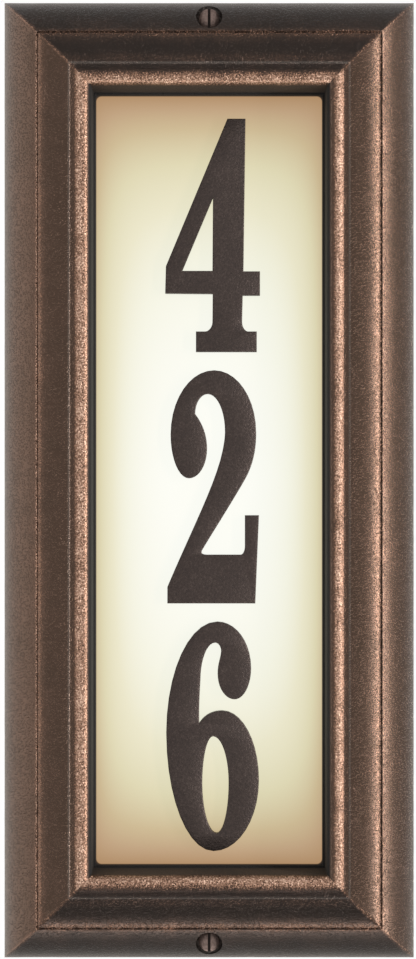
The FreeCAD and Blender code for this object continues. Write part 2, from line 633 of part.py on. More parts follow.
def numeral(name, loops, width, place):
    """One raised numeral with a bevelled face, sewn from its own outlines and set in place on its tape."""
    scale, bevel = value_of("digit_height") / DRAWN_HEIGHT, value_of("digit_bevel")
    foot = value_of(f"{LENS_FACE} + tape_thick")
    top = foot + value_of("digit_thick")
    backs, faces, sides = [], [], []
    for number, strokes in enumerate(loops):
        edges = numeral_poles(strokes, scale)
        turn = sum(poles[0].x * poles[-1].z - poles[-1].x * poles[0].z for poles in edges)
        inward = 1 if (turn > 0) == (number == 0) else -1
        base, rim = drawn(edges, foot), drawn(edges, top - bevel)
        front = drawn(inset_poles(edges, inward * bevel), top)
        backs.append(Part.Wire(base))
        faces.append(Part.Wire(front))
        for lower, upper in (*zip(base, rim), *zip(rim, front)):
            sides.append(Part.makeRuledSurface(lower, upper))
    flats = [Part.Face(wires, "Part::FaceMakerBullseye") for wires in (backs, faces)]
    shell = Part.makeShell(flats + sides)
    shell.sewShape()
    solid = Part.makeSolid(shell)
    if solid.Volume < 0:
        solid.reverse()
    corner_x, corner_z = numeral_corner(width, place)
    solid.translate(Vector(value_of(corner_x), 0, value_of(corner_z)))
    raised = doc.addObject("Part::Feature", name)
    raised.Shape = solid
    return raised


def numeral_tape(name, pads, width, place):
    """Foam tape pads behind a numeral's strokes."""
    body = new_body(f"{name}_tape")
    sketch = face_sketch(body, "pads", LENS_FACE)
    left, foot = numeral_corner(width, place)
    for low_x, low_z, high_x, high_z in pads:
        rectangle(sketch, f"{left} + {low_x} * {SCALE}", f"{foot} + {low_z} * {SCALE}",
                  f"{left} + {high_x} * {SCALE}", f"{foot} + {high_z} * {SCALE}")
    pad(body, sketch, "tape_thick")
    return body


# Frame screws and their posts ----------------------------------------------------------------------------

def frame_screw(name, spot):
    """A slotted oval-head screw, held captive by its washer."""
    body = new_body(name)
    seat = "recess_floor + running_gap"
    lathe(body, "profile", [
        ("0", f"{seat} - screw_length"),
        ("screw_radius", f"{seat} - screw_length"),
        ("screw_radius", seat),
        ("screw_head_radius", seat),
        ("screw_head_radius", f"{seat} + screw_head_rim", CROWN_RADIUS, 1),
        ("0", f"{seat} + screw_head_rim + screw_head_crown")], *spot)
    slot = face_sketch(body, "slot", f"({seat} + screw_head_rim + screw_head_crown)")
    half = "slot_width / 2"
    rectangle(slot, f"-{half}", f"{spot[1]} - screw_head_radius", half, f"{spot[1]} + screw_head_radius")
    pocket(body, slot, "slot_depth")
    return body


def retainer(name, spot):
    """The nylon washer pressed on the shank, in its pocket under the cast boss."""
    body = new_body(name)
    sketch = face_sketch(body, "ring", f"({BOSS_FOOT} + retainer_room)")
    circles(sketch, [spot], "retainer_radius")
    circles(sketch, [spot], "screw_radius")
    pad(body, sketch, "retainer_thick")
    return body


def post(name, spot):
    """A hexagonal threaded post, swaged into the pan's rim floor."""
    body = new_body(name)
    foot = "(seal_thick + pan_gauge)"
    corner, flat = "post_flats / sqrt(3)", "post_flats / 2"
    hexagon = face_sketch(body, "hexagon", foot)
    ring = [(1, 0), (0.5, 1), (-0.5, 1), (-1, 0), (-0.5, -1), (0.5, -1)]
    outline(hexagon, [(f"{corner} * {a}", f"{spot[1]} + {flat} * {b}") for a, b in ring])
    pad(body, hexagon, f"post_top - {foot}")
    spigot = face_sketch(body, "spigot", "seal_thick")
    circles(spigot, [spot], "spigot_radius")
    pad(body, spigot, "pan_gauge")
    bore = face_sketch(body, "bore", "post_top")
    circles(bore, [spot], "screw_radius + thread_play")
    pocket(body, bore, "post_bore_depth")
    return body


# The back of the sign ------------------------------------------------------------------------------------

def back_pan():
    """A pressed pan: a land that lies on the wall, a rim floor over the wall seal, and upright walls."""
    body = new_body("back_pan")
    walls = face_sketch(body, "walls", "seal_thick")
    centred(walls, PAN_X, PAN_Z, "pan_corner")
    pad(body, walls, "pan_height - seal_thick")
    land = face_sketch(body, "land", "0")
    centred(land, f"({PAN_X} - {LAND_INSET})", f"({PAN_Z} - {LAND_INSET})", "pan_corner")
    pad(body, land, "seal_thick")
    inside = face_sketch(body, "inside", "pan_height")
    centred(inside, f"({PAN_X} - pan_gauge)", f"({PAN_Z} - pan_gauge)", "(pan_corner - pan_gauge)")
    pocket(body, inside, "pan_height - seal_thick - pan_gauge")
    dish = face_sketch(body, "dish", "(seal_thick + pan_gauge)")
    centred(dish, f"({PAN_X} - {LAND_INSET} - pan_gauge)", f"({PAN_Z} - {LAND_INSET} - pan_gauge)",
            "(pan_corner - pan_gauge)")
    pocket(body, dish, "seal_thick")

    notches = face_sketch(body, "notches", "pan_height")
    half = "notch_width / 2"
    for sign in (1, -1):
        ends = [mirrored(sign, f"{SCREW_Z} - post_flats / 2"), mirrored(sign, f"{PAN_Z} + pan_gauge")]
        rectangle(notches, f"-{half}", ends[sign < 0], half, ends[sign > 0])
    pocket(body, notches, "pan_height - seal_thick - pan_gauge")

    holes = face_sketch(body, "holes", "(seal_thick + pan_gauge)")
    circles(holes, WALL_SPOTS, "wall_hole_radius")
    circles(holes, RIVET_SPOTS, "rivet_radius")
    circles(holes, FOOT_SPOTS, "foot_screw_radius")
    circles(holes, [ENTRY_SPOT], "entry_radius")
    circles(holes, SCREW_SPOTS, "spigot_radius")
    pocket(body, holes, "seal_thick + pan_gauge")
    return body


def wall_seal():
    body = new_body("wall_seal")
    sketch = face_sketch(body, "ring", "0")
    outer, inner = "seal_setback", "(seal_setback + seal_width)"
    centred(sketch, f"({PAN_X} - {outer})", f"({PAN_Z} - {outer})", "pan_corner")
    centred(sketch, f"({PAN_X} - {inner})", f"({PAN_Z} - {inner})", "pan_corner")
    pad(body, sketch, "seal_thick")
    return body


def reflector_tray():
    """A folded white tray whose walls spread from its floor to just outside the window."""
    body = new_body("reflector_tray")
    skins = (("AdditiveLoft", "tray_gauge", "pan_gauge"), ("SubtractiveLoft", "0", TRAY_FLOOR))
    for kind, skin, floor in skins:
        bottom = face_sketch(body, f"{kind}_floor", floor)
        centred(bottom, f"(tray_floor_x + {skin})", f"(tray_floor_z + {skin})")
        mouth = face_sketch(body, f"{kind}_mouth", "tray_rim")
        centred(mouth, f"({WINDOW_X} + tray_spread + {skin})", f"({WINDOW_Z} + tray_spread + {skin})")
        loft = body.newObject(f"PartDesign::{kind}", f"reflector_tray_{kind}")
        loft.Profile = bottom
        loft.Sections = [mouth]
        loft.Ruled = True
    holes = face_sketch(body, "holes", TRAY_FLOOR)
    circles(holes, RIVET_SPOTS, "rivet_radius")
    circles(holes, FOOT_SPOTS, "foot_screw_radius")
    circles(holes, [ENTRY_SPOT], "entry_radius")
    pocket(body, holes, "tray_gauge")
    return body


def fasteners(name, spots, foot, shank_radius, shank_length, head_radius, head_thick, ease):
    """Equal fasteners driven towards the wall: shanks from a height up, then heads with an eased rim."""
    body = new_body(name)
    shanks = face_sketch(body, "shanks", foot)
    circles(shanks, spots, shank_radius)
    pad(body, shanks, shank_length)
    seat = f"({foot} + {shank_length})"
    heads = face_sketch(body, "heads", seat)
    circles(heads, spots, head_radius)
    pad(body, heads, head_thick)
    dressed("Chamfer", body, "rims", ease, lambda edge: at_height(edge, f"{seat} + {head_thick}"))
    return body


def wire_grommet():
    """A snap bushing that lines the supply's entry through pan and tray."""
    body = new_body("wire_grommet")
    lathe(body, "profile", [
        ("grommet_bore", "0"), ("entry_radius", "0"), ("entry_radius", TRAY_FLOOR),
        ("grommet_flange", TRAY_FLOOR), ("grommet_flange", f"{TRAY_FLOOR} + grommet_lip"),
        ("grommet_bore", f"{TRAY_FLOOR} + grommet_lip")], *ENTRY_SPOT)
    return body


# Lamps, holder and wiring --------------------------------------------------------------------------------

def lamp_holder():
    """A moulded block with a wedge socket in each end and a foot across its middle."""
    body = new_body("lamp_holder")
    foot = face_sketch(body, "foot", TRAY_FLOOR)
    centred(foot, "foot_width / 2", "foot_length / 2", "holder_corner")
    pad(body, foot, "foot_thick")
    block = face_sketch(body, "block", TRAY_FLOOR)
    centred(block, "holder_width / 2", HOLDER_END)
    pad(body, block, f"lamp_height + holder_crown - {TRAY_FLOOR}")
    crown = "lamp_height + holder_crown"
    dressed("Fillet", body, "long_edges", "holder_corner",
            lambda edge: at_height(edge, crown) and edge.BoundBox.XLength < 1e-4)
    sockets = face_sketch(body, "sockets", f"(lamp_height + {SOCKET_Y})")
    rectangle(sockets, f"-{SOCKET_X}", SOCKET_FLOOR, SOCKET_X, HOLDER_END)
    rectangle(sockets, f"-{SOCKET_X}", f"-{HOLDER_END}", SOCKET_X, f"-{SOCKET_FLOOR}")
    pocket(body, sockets, f"2 * {SOCKET_Y}")
    holes = face_sketch(body, "holes", f"({TRAY_FLOOR} + foot_thick)")
    circles(holes, FOOT_SPOTS, "foot_screw_radius")
    pocket(body, holes, "foot_thick")
    leads = new_sketch(body, "leads", "YZ_Plane", {"z": "holder_width / 2"})
    spots = [("-lead_height", f"{sign} * lead_pitch / 2") for sign in (-1, 1)]
    circles(leads, spots, "lead_radius + lead_play")
    pocket(body, leads, "lead_reach")
    return body


def lamp_contacts():
    """Four brass strips: in each socket one on the front face and one on the back, either side of centre."""
    body = new_body("lamp_contacts")
    inner = f"({SOCKET_X} - contact_width)"
    layers = (("front", f"(lamp_height + {SOCKET_Y} - contact_gauge)", SOCKET_X, inner),
              ("back", f"(lamp_height - {SOCKET_Y})", f"-{inner}", f"-{SOCKET_X}"))
    for name, height, right, left in layers:
        strips = face_sketch(body, name, height)
        rectangle(strips, left, SOCKET_FLOOR, right, f"{HOLDER_END} - contact_gauge")
        rectangle(strips, left, f"-{HOLDER_END} + contact_gauge", right, f"-{SOCKET_FLOOR}")
        pad(body, strips, "contact_gauge")
    return body


def lamp(name, sign):
    """A wedge-base lamp that points up or down from the holder: its glass, then its filament on two posts."""
    neck = f"({LAMP_BASE} + wedge_length)"
    tip = f"({LAMP_BASE} + lamp_length)"
    hollow = "(lamp_radius - glass_wall)"
    glass = new_body(f"{name}_glass")
    profile = new_sketch(glass, "profile", "XZ_Plane", {"z": "lamp_height"})
    outline(profile, [(corner[0], mirrored(sign, corner[1]), *corner[2:3], *[c * sign for c in corner[3:]])
                      for corner in (
        ("0", neck),
        ("lamp_neck", neck),
        ("lamp_radius", f"{neck} + lamp_flare"),
        ("lamp_radius", f"{tip} - lamp_radius", "lamp_radius", 1),
        ("0", tip),
        ("0", f"{tip} - glass_wall", hollow, -1),
        (hollow, f"{tip} - lamp_radius"),
        (hollow, f"{neck} + lamp_floor"),
        ("0", f"{neck} + lamp_floor"))])
    turned = glass.newObject("PartDesign::Revolution", f"{name}_glass_turned")
    turned.Profile = profile
    turned.ReferenceAxis = (profile, ["V_Axis"])
    turned.Angle = 360
    wedge = face_sketch(glass, "wedge", "(lamp_height - wedge_thick / 2)")
    ends = [mirrored(sign, LAMP_BASE), mirrored(sign, neck)]
    rectangle(wedge, "-wedge_width / 2", ends[sign < 0], "wedge_width / 2", ends[sign > 0])
    pad(glass, wedge, "wedge_thick")

    filament = new_body(f"{name}_filament")
    posts = new_sketch(filament, "posts", "XY_Plane", {"z": mirrored(sign, f"{neck} + lamp_floor")})
    circles(posts, [(mirrored(side, "filament_span / 2"), "-lamp_height") for side in (1, -1)], "wire_radius")
    extruded("Pad", filament, posts, "filament_height", backwards=sign < 0)
    wire = new_sketch(filament, "wire", "YZ_Plane", {"z": "-filament_span / 2"})
    level = mirrored(sign, f"{neck} + lamp_floor + filament_height - filament_radius")
    circles(wire, [("-lamp_height", level)], "filament_radius")
    pad(filament, wire, "filament_span")
    return glass, filament


def terminal_block():
    """The block where the supply is joined: two screw wells, and a wire hole at each end of each pole."""
    body = new_body("terminal_block")
    block = face_sketch(body, "block", TRAY_FLOOR)
    half_x, half_z = "block_width / 2", "block_length / 2"
    low, high = ((f"block_x {sign} {half_x}", f"block_z {sign} {half_z}") for sign in "-+")
    rectangle(block, *low, *high)
    pad(body, block, "block_height")
    wells = face_sketch(body, "wells", f"({TRAY_FLOOR} + block_height)")
    circles(wells, POLE_SPOTS, "well_radius")
    pocket(body, wells, "well_depth")
    for name, sign, radius in (("lead", 1, "lead_radius + lead_play"), ("feed", -1, "feed_radius")):
        ends = new_sketch(body, name, "XY_Plane", {"z": f"block_z + {sign} * {half_z}"})
        circles(ends, [(x, "-lead_height") for x, _ in POLE_SPOTS], radius)
        holes = pocket(body, ends, "lead_tail")
        holes.Reversed = sign < 0
    return body


def terminal_screws():
    body = new_body("terminal_screws")
    foot = f"({TRAY_FLOOR} + block_height - well_depth)"
    heads = face_sketch(body, "heads", foot)
    circles(heads, POLE_SPOTS, "terminal_radius")
    pad(body, heads, "terminal_thick")
    slots = face_sketch(body, "slots", f"({foot} + terminal_thick)")
    half = "terminal_slot / 2"
    for x, z in POLE_SPOTS:
        rectangle(slots, f"{x} - {half}", f"{z} - terminal_radius", f"{x} + {half}", f"{z} + terminal_radius")
    pocket(body, slots, "terminal_slot")
    return body


def lead(name, pole, level):
    """An internal lead: straight out of its pole of the block, one wide bend, and into the holder's side."""
    x = value_of(POLE_SPOTS[pole][0])
    height = -value_of("lead_height")
    start = Vector(x, height, value_of("block_z + block_length / 2 - lead_tail"))
    corner = Vector(x, height, value_of(f"{level} * lead_pitch / 2"))
    end = Vector(value_of("holder_width / 2 - lead_reach"), height, corner.z)
    radius = BEND_SHARE * min(corner.distanceToPoint(start), corner.distanceToPoint(end))
    before = corner + (start - corner).normalize() * radius
    after = corner + (end - corner).normalize() * radius
    centre = before + (after - corner)
    middle = centre + (corner - centre).normalize() * radius
    path = Part.Wire([Part.LineSegment(start, before).toShape(), Part.Arc(before, middle, after).toShape(),
                      Part.LineSegment(after, end).toShape()])
    ring = Part.Wire(Part.makeCircle(value_of("lead_radius"), start, Vector(0, 0, 1)))
    wire = doc.addObject("Part::Feature", name)
    wire.Shape = path.makePipeShell([ring], True, True)
    print(f"{name}: bend radius {radius:.1f} mm, length {path.Length:.1f} mm")
    return wire


# The whole sign ------------------------------------------------------------------------------------------

nodes = [front_frame(), lens(), lens_gasket(), lens_clips(), clip_screws()]
for digit, loops, pads, width, place in NUMERALS:
    nodes += [numeral(digit, loops, width, place), numeral_tape(digit, pads, width, place)]
for end_name, spot in zip(("top", "bottom"), SCREW_SPOTS):
    nodes += [frame_screw(f"{end_name}_screw", spot), retainer(f"{end_name}_retainer", spot),
              post(f"{end_name}_post", spot)]
nodes += [back_pan(), wall_seal(), reflector_tray(), wire_grommet(), lamp_holder(), lamp_contacts()]
nodes += [fasteners("tray_rivets", RIVET_SPOTS, "0", "rivet_radius", TRAY_FLOOR, "rivet_head_radius",
                    "rivet_head_thick", "rivet_ease"),
          fasteners("holder_screws", FOOT_SPOTS, "0", "foot_screw_radius", f"({TRAY_FLOOR} + foot_thick)",
                    "foot_head_radius", "foot_head_thick", "rivet_ease")]
nodes += [*lamp("upper_lamp", 1), *lamp("lower_lamp", -1), terminal_block(), terminal_screws()]
nodes += [lead("lead_black", 0, -1), lead("lead_white", 1, 1)]

doc.recompute()
for thing in doc.Objects:
    if "Invalid" in thing.State or "Error" in thing.State:
        raise RuntimeError(f"{thing.Label} did not compute: {thing.State}")
for node in nodes:
    if node.Shape.isNull() or not node.Shape.isValid() or not node.Shape.Solids:
        raise RuntimeError(f"{node.Label} has no valid solid")

os.makedirs("parts", exist_ok=True)
for node in nodes:
    node.Shape.exportStep(f"parts/{node.Label}.step")
    print(f"{node.Label}: {len(node.Shape.Solids)} solid(s), {node.Shape.Volume / 1000:.2f} cm3")
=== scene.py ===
"""Illuminated house number sign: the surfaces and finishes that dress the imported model.

Metres, in the model's own frame: X to the viewer's right, Z up, the front faces -Y and the wall is Y = 0.
Sections are drawn in millimetres as an inset from the frame's outer edge and a height off the wall.
"""
import json
import math
import bmesh
import bpy
from bpy.props import FloatProperty, PointerProperty, StringProperty
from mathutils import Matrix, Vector
from mathutils.geometry import tessellate_polygon


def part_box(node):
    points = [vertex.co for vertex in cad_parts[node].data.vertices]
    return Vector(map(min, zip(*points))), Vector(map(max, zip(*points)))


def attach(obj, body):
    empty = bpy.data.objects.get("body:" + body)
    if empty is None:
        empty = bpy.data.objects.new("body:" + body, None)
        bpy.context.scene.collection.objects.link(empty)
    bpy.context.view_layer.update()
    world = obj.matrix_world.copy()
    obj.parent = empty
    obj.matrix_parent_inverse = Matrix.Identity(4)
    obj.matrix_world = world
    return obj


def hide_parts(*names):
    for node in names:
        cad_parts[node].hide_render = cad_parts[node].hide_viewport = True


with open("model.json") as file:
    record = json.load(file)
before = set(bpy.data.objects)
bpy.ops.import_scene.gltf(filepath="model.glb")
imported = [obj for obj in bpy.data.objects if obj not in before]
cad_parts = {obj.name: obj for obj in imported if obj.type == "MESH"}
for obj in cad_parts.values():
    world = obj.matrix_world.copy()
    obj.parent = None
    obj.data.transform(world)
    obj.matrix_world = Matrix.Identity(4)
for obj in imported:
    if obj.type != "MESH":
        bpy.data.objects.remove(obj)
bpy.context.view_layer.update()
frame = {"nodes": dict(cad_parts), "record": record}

bl_info = {
    "name": "House number sign",
    "version": (1, 0, 0),
    "blender": (4, 5, 0),
    "location": "View3D > Sidebar > House sign",
    "description": "Builds the visible surfaces of an illuminated house number sign round its packed model",
    "category": "Object",
}

MM = 0.001
HALF_W, HALF_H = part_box("front_frame")[1].xz
SCREW_LOW, SCREW_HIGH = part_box("top_screw")
SCREW_Z = (SCREW_LOW.z + SCREW_HIGH.z) / 2      # the frame screws' axes, above and below the centre

# The moulding's section, millimetres: (inset, height) or (inset, height, radius, turn) where an arc leaves
SECTION_FACE = [
    (0, 3), (0, 28.5, 42.3, -1), (14.6, 40.75), (15.15, 40.3), (15.6, 40.72, 31, -1), (28.95, 44.4, 0.35, -1),
    (29.3, 44.12), (29.55, 43.98, 2.2, 1), (31.5, 44.07, 4.4, -1), (34.2, 45, 4.4, -1), (38.6, 40.6),
    (38.7, 26.6, 0.9, -1), (39.6, 25.7)]
SECTION_BACK = [
    (39.6, 24.1), (33.6, 24.1), (33.6, 20.5), (32, 20.5), (32, 30.1), (27.5, 39.3), (26.2, 41.1),
    (14.7, 36.4, 39.3, 1), (3, 28.5), (3, 3)]
# Millimetres, heights from the wall
BORDER = 39.6               # outer edge to the window
FACE_STEP, BACK_STEP = 1.5, 40.0        # longest facet of the section outside, and inside
SCREW_TIP, SCREW_TOP = -SCREW_HIGH.y / MM, -SCREW_LOW.y / MM
HEAD_RADIUS, HEAD_RIM, HEAD_CROWN = 4.4, 1.8, 1.0       # a frame screw's head
SCREW_SEAT = SCREW_TOP - HEAD_CROWN - HEAD_RIM
SLOT, SLOT_LENGTH = 1.2, 12.0           # width and depth of its slot, and a length that clears the head
SHANK, SHANK_ROOM = 2.0, 2.25           # radius of its shank, and of the hole round it
RECESS_RADIUS, RECESS_FLOOR = 5.7, SCREW_SEAT - 0.05
BOSS_RADIUS, BOSS_FOOT = 6.5, 20.1                      # the cast boss round it
BOSS_BRIM = BOSS_FOOT + 5   # where that boss leaves its cylinder to follow the face
SKIN = 0.5                  # from the boss's end to the face
WASHER_RADIUS, WASHER_ROOM = 3.3, 1.6                   # pocket of the washer on the shank
CLIP_INSET, CLIP_PITCH = 25.0, 118.0    # outer edge to a lens clip's screw, and clip to clip up a side
CLIP_GRIP = 3.4             # how far a clip reaches over the lens
CLIP_HEEL = 4.0             # its half width, and its end behind the screw
CLIP_CORNER = 1.2           # radius of its corners over the lens
CLIP_GAUGE = 1.5            # its thickness
CLIP_BOSS, CLIP_BOSS_TOP = 3.0, 41.5    # the cast boss under it, which ends in the wall of the casting
CLIP_SCREW, CLIP_SCREW_LENGTH = 1.5, 8.0                # its screw's radius, and its depth in the boss
LENS_BACK = 20.1            # the lens's back, where the clips lie
BELOW, ABOVE = 15, 50       # clear of the casting, towards the wall and towards the viewer
RIVET_X, RIVET_Z = 30, 140  # the reflector's rivets
HOLDER_SCREW_X = 11.1       # the lamp holder's screws
COIL_TURNS, COIL_STEPS = 9, 10          # a filament, and facets to a turn
COIL_SPAN, COIL_RADIUS, COIL_WIRE = 3.4, 0.13, 0.06
COIL_POST_X, COIL_POST_RADIUS = 2.0, 0.28               # the wires that carry it
COIL_DROP, COIL_POST_DROP = 0.3, 0.5    # from the tip to the coil's axis, and to those wires' ends
HARD_EDGE, KEEN_EDGE = 0.6, 0.5         # angle between two faces, radians, from which their edge is hard

# Numeral outlines, millimetres: "to" is a straight edge, "over" a quarter turn that leaves sideways, "up" one
# that leaves upright, "via" a cubic curve with its two handles
FOUR = [[(27.1, 101.6), ("to", 35.0, 101.6), ("to", 34.1, 35.1), ("to", 41.3, 35.1), ("to", 41.3, 24.6),
         ("to", 33.8, 24.6), ("to", 33.5, 13.3), ("up", 36.2, 8.9), ("to", 39.9, 8.9), ("to", 39.9, 0.0),
         ("to", 13.4, 0.0), ("to", 13.4, 8.9), ("to", 17.3, 8.9), ("over", 20.6, 13.3), ("to", 20.7, 25.3),
         ("to", 0.0, 25.5), ("to", 0.3, 37.3), ("to", 27.1, 101.6)],
        [(7.4, 35.3), ("to", 20.6, 35.3), ("to", 20.8, 67.2), ("to", 7.4, 35.3)]]
TWO = [[(20.6, 101.6), ("over", 38.9, 74.3), ("via", 38.9, 67.5, 37.8, 62.0, 35.3, 56.5),
        ("via", 32.9, 51.3, 17.6, 27.2, 15.4, 23.3), ("via", 14.6, 21.9, 15.4, 21.2, 17.5, 21.2),
        ("to", 32.2, 21.2), ("over", 34.0, 25.0), ("to", 34.0, 38.4), ("to", 40.1, 38.4), ("to", 38.5, 0.0),
        ("to", 0.2, 0.0), ("to", 0.2, 7.2), ("via", 10.0, 30.5, 21.5, 52.5, 24.3, 66.8),
        ("via", 24.9, 69.8, 25.3, 72.4, 25.3, 75.0), ("up", 17.8, 91.3), ("over", 12.3, 82.6),
        ("via", 15.4, 78.5, 17.5, 73.5, 17.5, 67.5), ("up", 9.6, 54.5), ("over", 1.6, 73.6),
        ("up", 20.6, 101.6)]]
SIX = [[(22.3, 101.6), ("over", 37.0, 81.5), ("up", 29.8, 67.8), ("over", 22.4, 79.0),
        ("via", 22.4, 83.5, 23.9, 86.0, 23.9, 88.8), ("up", 21.3, 92.5), ("over", 14.9, 76.0),
        ("via", 14.4, 68.0, 14.2, 61.5, 14.4, 57.4), ("via", 16.6, 60.9, 20.0, 62.8, 24.4, 62.8),
        ("over", 40.4, 32.7), ("up", 20.6, 1.7), ("over", 0.0, 53.3), ("up", 22.3, 101.6)],
       [(20.4, 51.7), ("over", 27.2, 31.3), ("up", 22.0, 9.4), ("over", 15.7, 31.3), ("up", 20.4, 51.7)]]
NUMERALS = {"digit_four": FOUR, "digit_two": TWO, "digit_six": SIX}
HANDLE = 0.5523             # handle of a cubic curve that follows a quarter of an ellipse

# How far the coat is rubbed back on the long sides and on the ends, as (millimetres from the outer edge,
# share). The curves hold painted light too: the sides' curve is raised on the bead's window flank, where the
# key lamp's highlight falls, and the ends' curve is raised in the groove, a painted light that hides its
# shade.
# The first two pairs are the curve's ends
SIDE_WEAR = [(0, 0.03), (39.6, 0.0), (6, 0.03), (10, 0.04), (13.4, 0.1), (14.6, 0.17), (15.6, 0.2),
             (16.4, 0.26), (17.6, 0.14), (20, 0.06), (28.0, 0.03), (30.2, 0.05), (31.2, 0.14), (32.0, 0.42),
             (33.0, 0.64), (34.4, 0.6), (35.4, 0.5), (36.2, 0.42), (37.0, 0.25), (38.2, 0.0)]
END_WEAR = [(0, 0.0), (39.6, 0.0), (13.0, 0.06), (14.4, 0.15), (15.2, 0.26), (16.4, 0.2), (18, 0.1),
            (23, 0.0), (26.5, 0.1), (28.2, 0.1), (30.4, 0.04), (32.0, 0.08), (33.0, 0.2), (34.0, 0.36),
            (35.4, 0.52), (37.0, 0.58), (38.0, 0.46), (38.8, 0.1)]


# Colour and nodes ----------------------------------------------------------------------------------------

MATH, MIX, RANGE, RAMP = "ShaderNodeMath", "ShaderNodeMix", "ShaderNodeMapRange", "ShaderNodeValToRGB"
NOISE, BUMP = "ShaderNodeTexNoise", "ShaderNodeBump"
SPLIT, MERGE = "ShaderNodeSeparateXYZ", "ShaderNodeCombineXYZ"
SMOOTH = {"interpolation_type": "SMOOTHSTEP"}


def colour(hex_value):
    """Linear colour from an sRGB hex value."""
    parts = [int(hex_value[i:i + 2], 16) / 255 for i in (1, 3, 5)]
    return (*[c / 12.92 if c <= 0.04045 else ((c + 0.055) / 1.055) ** 2.4 for c in parts], 1.0)


def feed(node, inputs):
    """Links or sets a node's inputs, in order or by name or number."""
    for key, value in inputs.items() if isinstance(inputs, dict) else enumerate(inputs):
        if isinstance(value, bpy.types.NodeSocket):
            node.id_data.links.new(value, node.inputs[key])
        else:
            node.inputs[key].default_value = value


def add(tree, kind, inputs=(), output=0, stops=(), **settings):
    """Adds a node with its settings, colour stops as (position, hex) and inputs, and gives one output."""
    made = tree.nodes.new(kind)
    for key, value in settings.items():
        setattr(made, key, value)
    for number, (position, shade) in enumerate(stops):
        elements = made.color_ramp.elements
        element = elements[number] if number < 2 else elements.new(1.0)
        element.position, element.color = position, colour(shade)
    feed(made, inputs)
    return made.outputs[output] if len(made.outputs) else None


def new_material(name):
    """A material with an empty tree, its shader and its Object coordinates."""
    material = bpy.data.materials.new(name)
    material.use_nodes = True
    tree = material.node_tree
    tree.nodes.clear()
    shader = add(tree, "ShaderNodeBsdfPrincipled")
    add(tree, "ShaderNodeOutputMaterial", [shader])
    return material, tree, shader.node, add(tree, "ShaderNodeTexCoord", output="Object")


def surface(name, light, dark, size_mm, metallic, rough, depth_mm, stretch=(1, 1, 1), **constants):
    """A finish in two close shades of noise, with roughness and relief that follow the same grain."""
    material, tree, shader, place = new_material(name)
    stretched = add(tree, "ShaderNodeMapping", {0: place, 3: stretch})
    grain, cloud = [
        add(tree, NOISE, {"Vector": where, "Scale": 1 / (size * MM), "Detail": detail, "Roughness": 0.55})
        for where, size, detail in ((stretched, size_mm, 3.0), (place, size_mm * 14, 2.0))]
    both = add(tree, MIX, {0: 0.4, 2: grain, 3: cloud})
    feed(shader, {
        "Base Color": add(tree, RAMP, [both], stops=[(0.36, dark), (0.64, light)]),
        "Roughness": add(tree, RANGE, (both, 0.3, 0.7, *rough)),
        "Metallic": metallic,
        "Normal": add(tree, BUMP, {"Height": grain, "Distance": depth_mm * MM})})
    feed(shader, {socket.replace("_", " "): value for socket, value in constants.items()})
    return material


# Mesh helpers --------------------------------------------------------------------------------------------

def arc_points(start, end, radius, turn, step):
    """Points after start along a minor arc, up to but not with end."""
    chord = end - start
    rise = math.sqrt(radius ** 2 - (chord.length / 2) ** 2)
    centre = (start + end) / 2 + Vector((-chord.y, chord.x)).normalized() * turn * rise
    sweep = 2 * math.asin(chord.length / 2 / radius)
    count = max(2, round(radius * sweep / step))
    first = math.atan2(start.y - centre.y, start.x - centre.x)
    return [centre + radius * Vector((math.cos(first + turn * sweep * k / count),
                                      math.sin(first + turn * sweep * k / count))) for k in range(1, count)]


def section_points(corners, step):
    """A section as points a step apart, from its corners in millimetres."""
    points = []
    for corner, following in zip(corners, corners[1:]):
        start, end = Vector(corner[:2]), Vector(following[:2])
        points.append(start)
        if len(corner) == 4:
            points += arc_points(start, end, corner[2], corner[3], min(step, 0.28 * corner[2] + 0.25))
        else:
            count = max(1, round((end - start).length / step))
            points += [start.lerp(end, k / count) for k in range(1, count)]
    return points


def circle(radius, count):
    """Points round a circle at the origin."""
    return [(radius * math.cos(2 * math.pi * k / count), radius * math.sin(2 * math.pi * k / count))
            for k in range(count)]


def walled(builder, rings):
    """Adds the wall from each ring of points to the next. A ring of one point closes a cone."""
    for low, high in zip(rings, rings[1:]):
        for k in range(max(len(low), len(high))):
            after = k + 1
            corners = (low[k % len(low)], low[after % len(low)], high[after % len(high)], high[k % len(high)])
            builder.faces.new(list(dict.fromkeys(corners)))


def turned(builder, profile, centre=(0, 0), segments=32):
    """Adds a closed lathe form about an axis square to the wall, from (radius, height) corners."""
    walled(builder, [[builder.verts.new((centre[0] + x * MM, -height * MM, centre[1] + z * MM))
                      for x, z in circle(radius, segments if radius else 1)] for radius, height in profile])
    return builder


def capped(builder, outlines):
    """Adds a flat face across rings of points that stand parallel to the wall, the first round the others."""
    flat = [vert for ring in outlines for vert in ring]
    drawn = [[Vector((vert.co.x, vert.co.z, 0)) for vert in ring] for ring in outlines]
    for triangle in tessellate_polygon(drawn):
        builder.faces.new([flat[k] for k in triangle])


def shaded(mesh, angle):
    """Smooth faces, with a hard edge wherever two of them meet at more than an angle."""
    mesh.polygons.foreach_set("use_smooth", [True] * len(mesh.polygons))
    mesh.set_sharp_from_angle(angle=angle)


def placed(name, data):
    """An object of a mesh, a lamp or a camera, in the scene."""
    made = bpy.data.objects.new(name, data)
    bpy.context.scene.collection.objects.link(made)
    return made


def solid_object(name, builder):
    """An object from a bmesh, with its faces turned outwards."""
    mesh = bpy.data.meshes.new(name)
    bmesh.ops.recalc_face_normals(builder, faces=builder.faces)
    builder.to_mesh(mesh)
    builder.free()
    return placed(name, mesh)


def dressed(piece, body, slot, *replaced):
    """Hangs a piece on the body it rides on and hides the CAD nodes it stands for; its slot is not used."""
    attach(piece, body)
    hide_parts(*replaced)


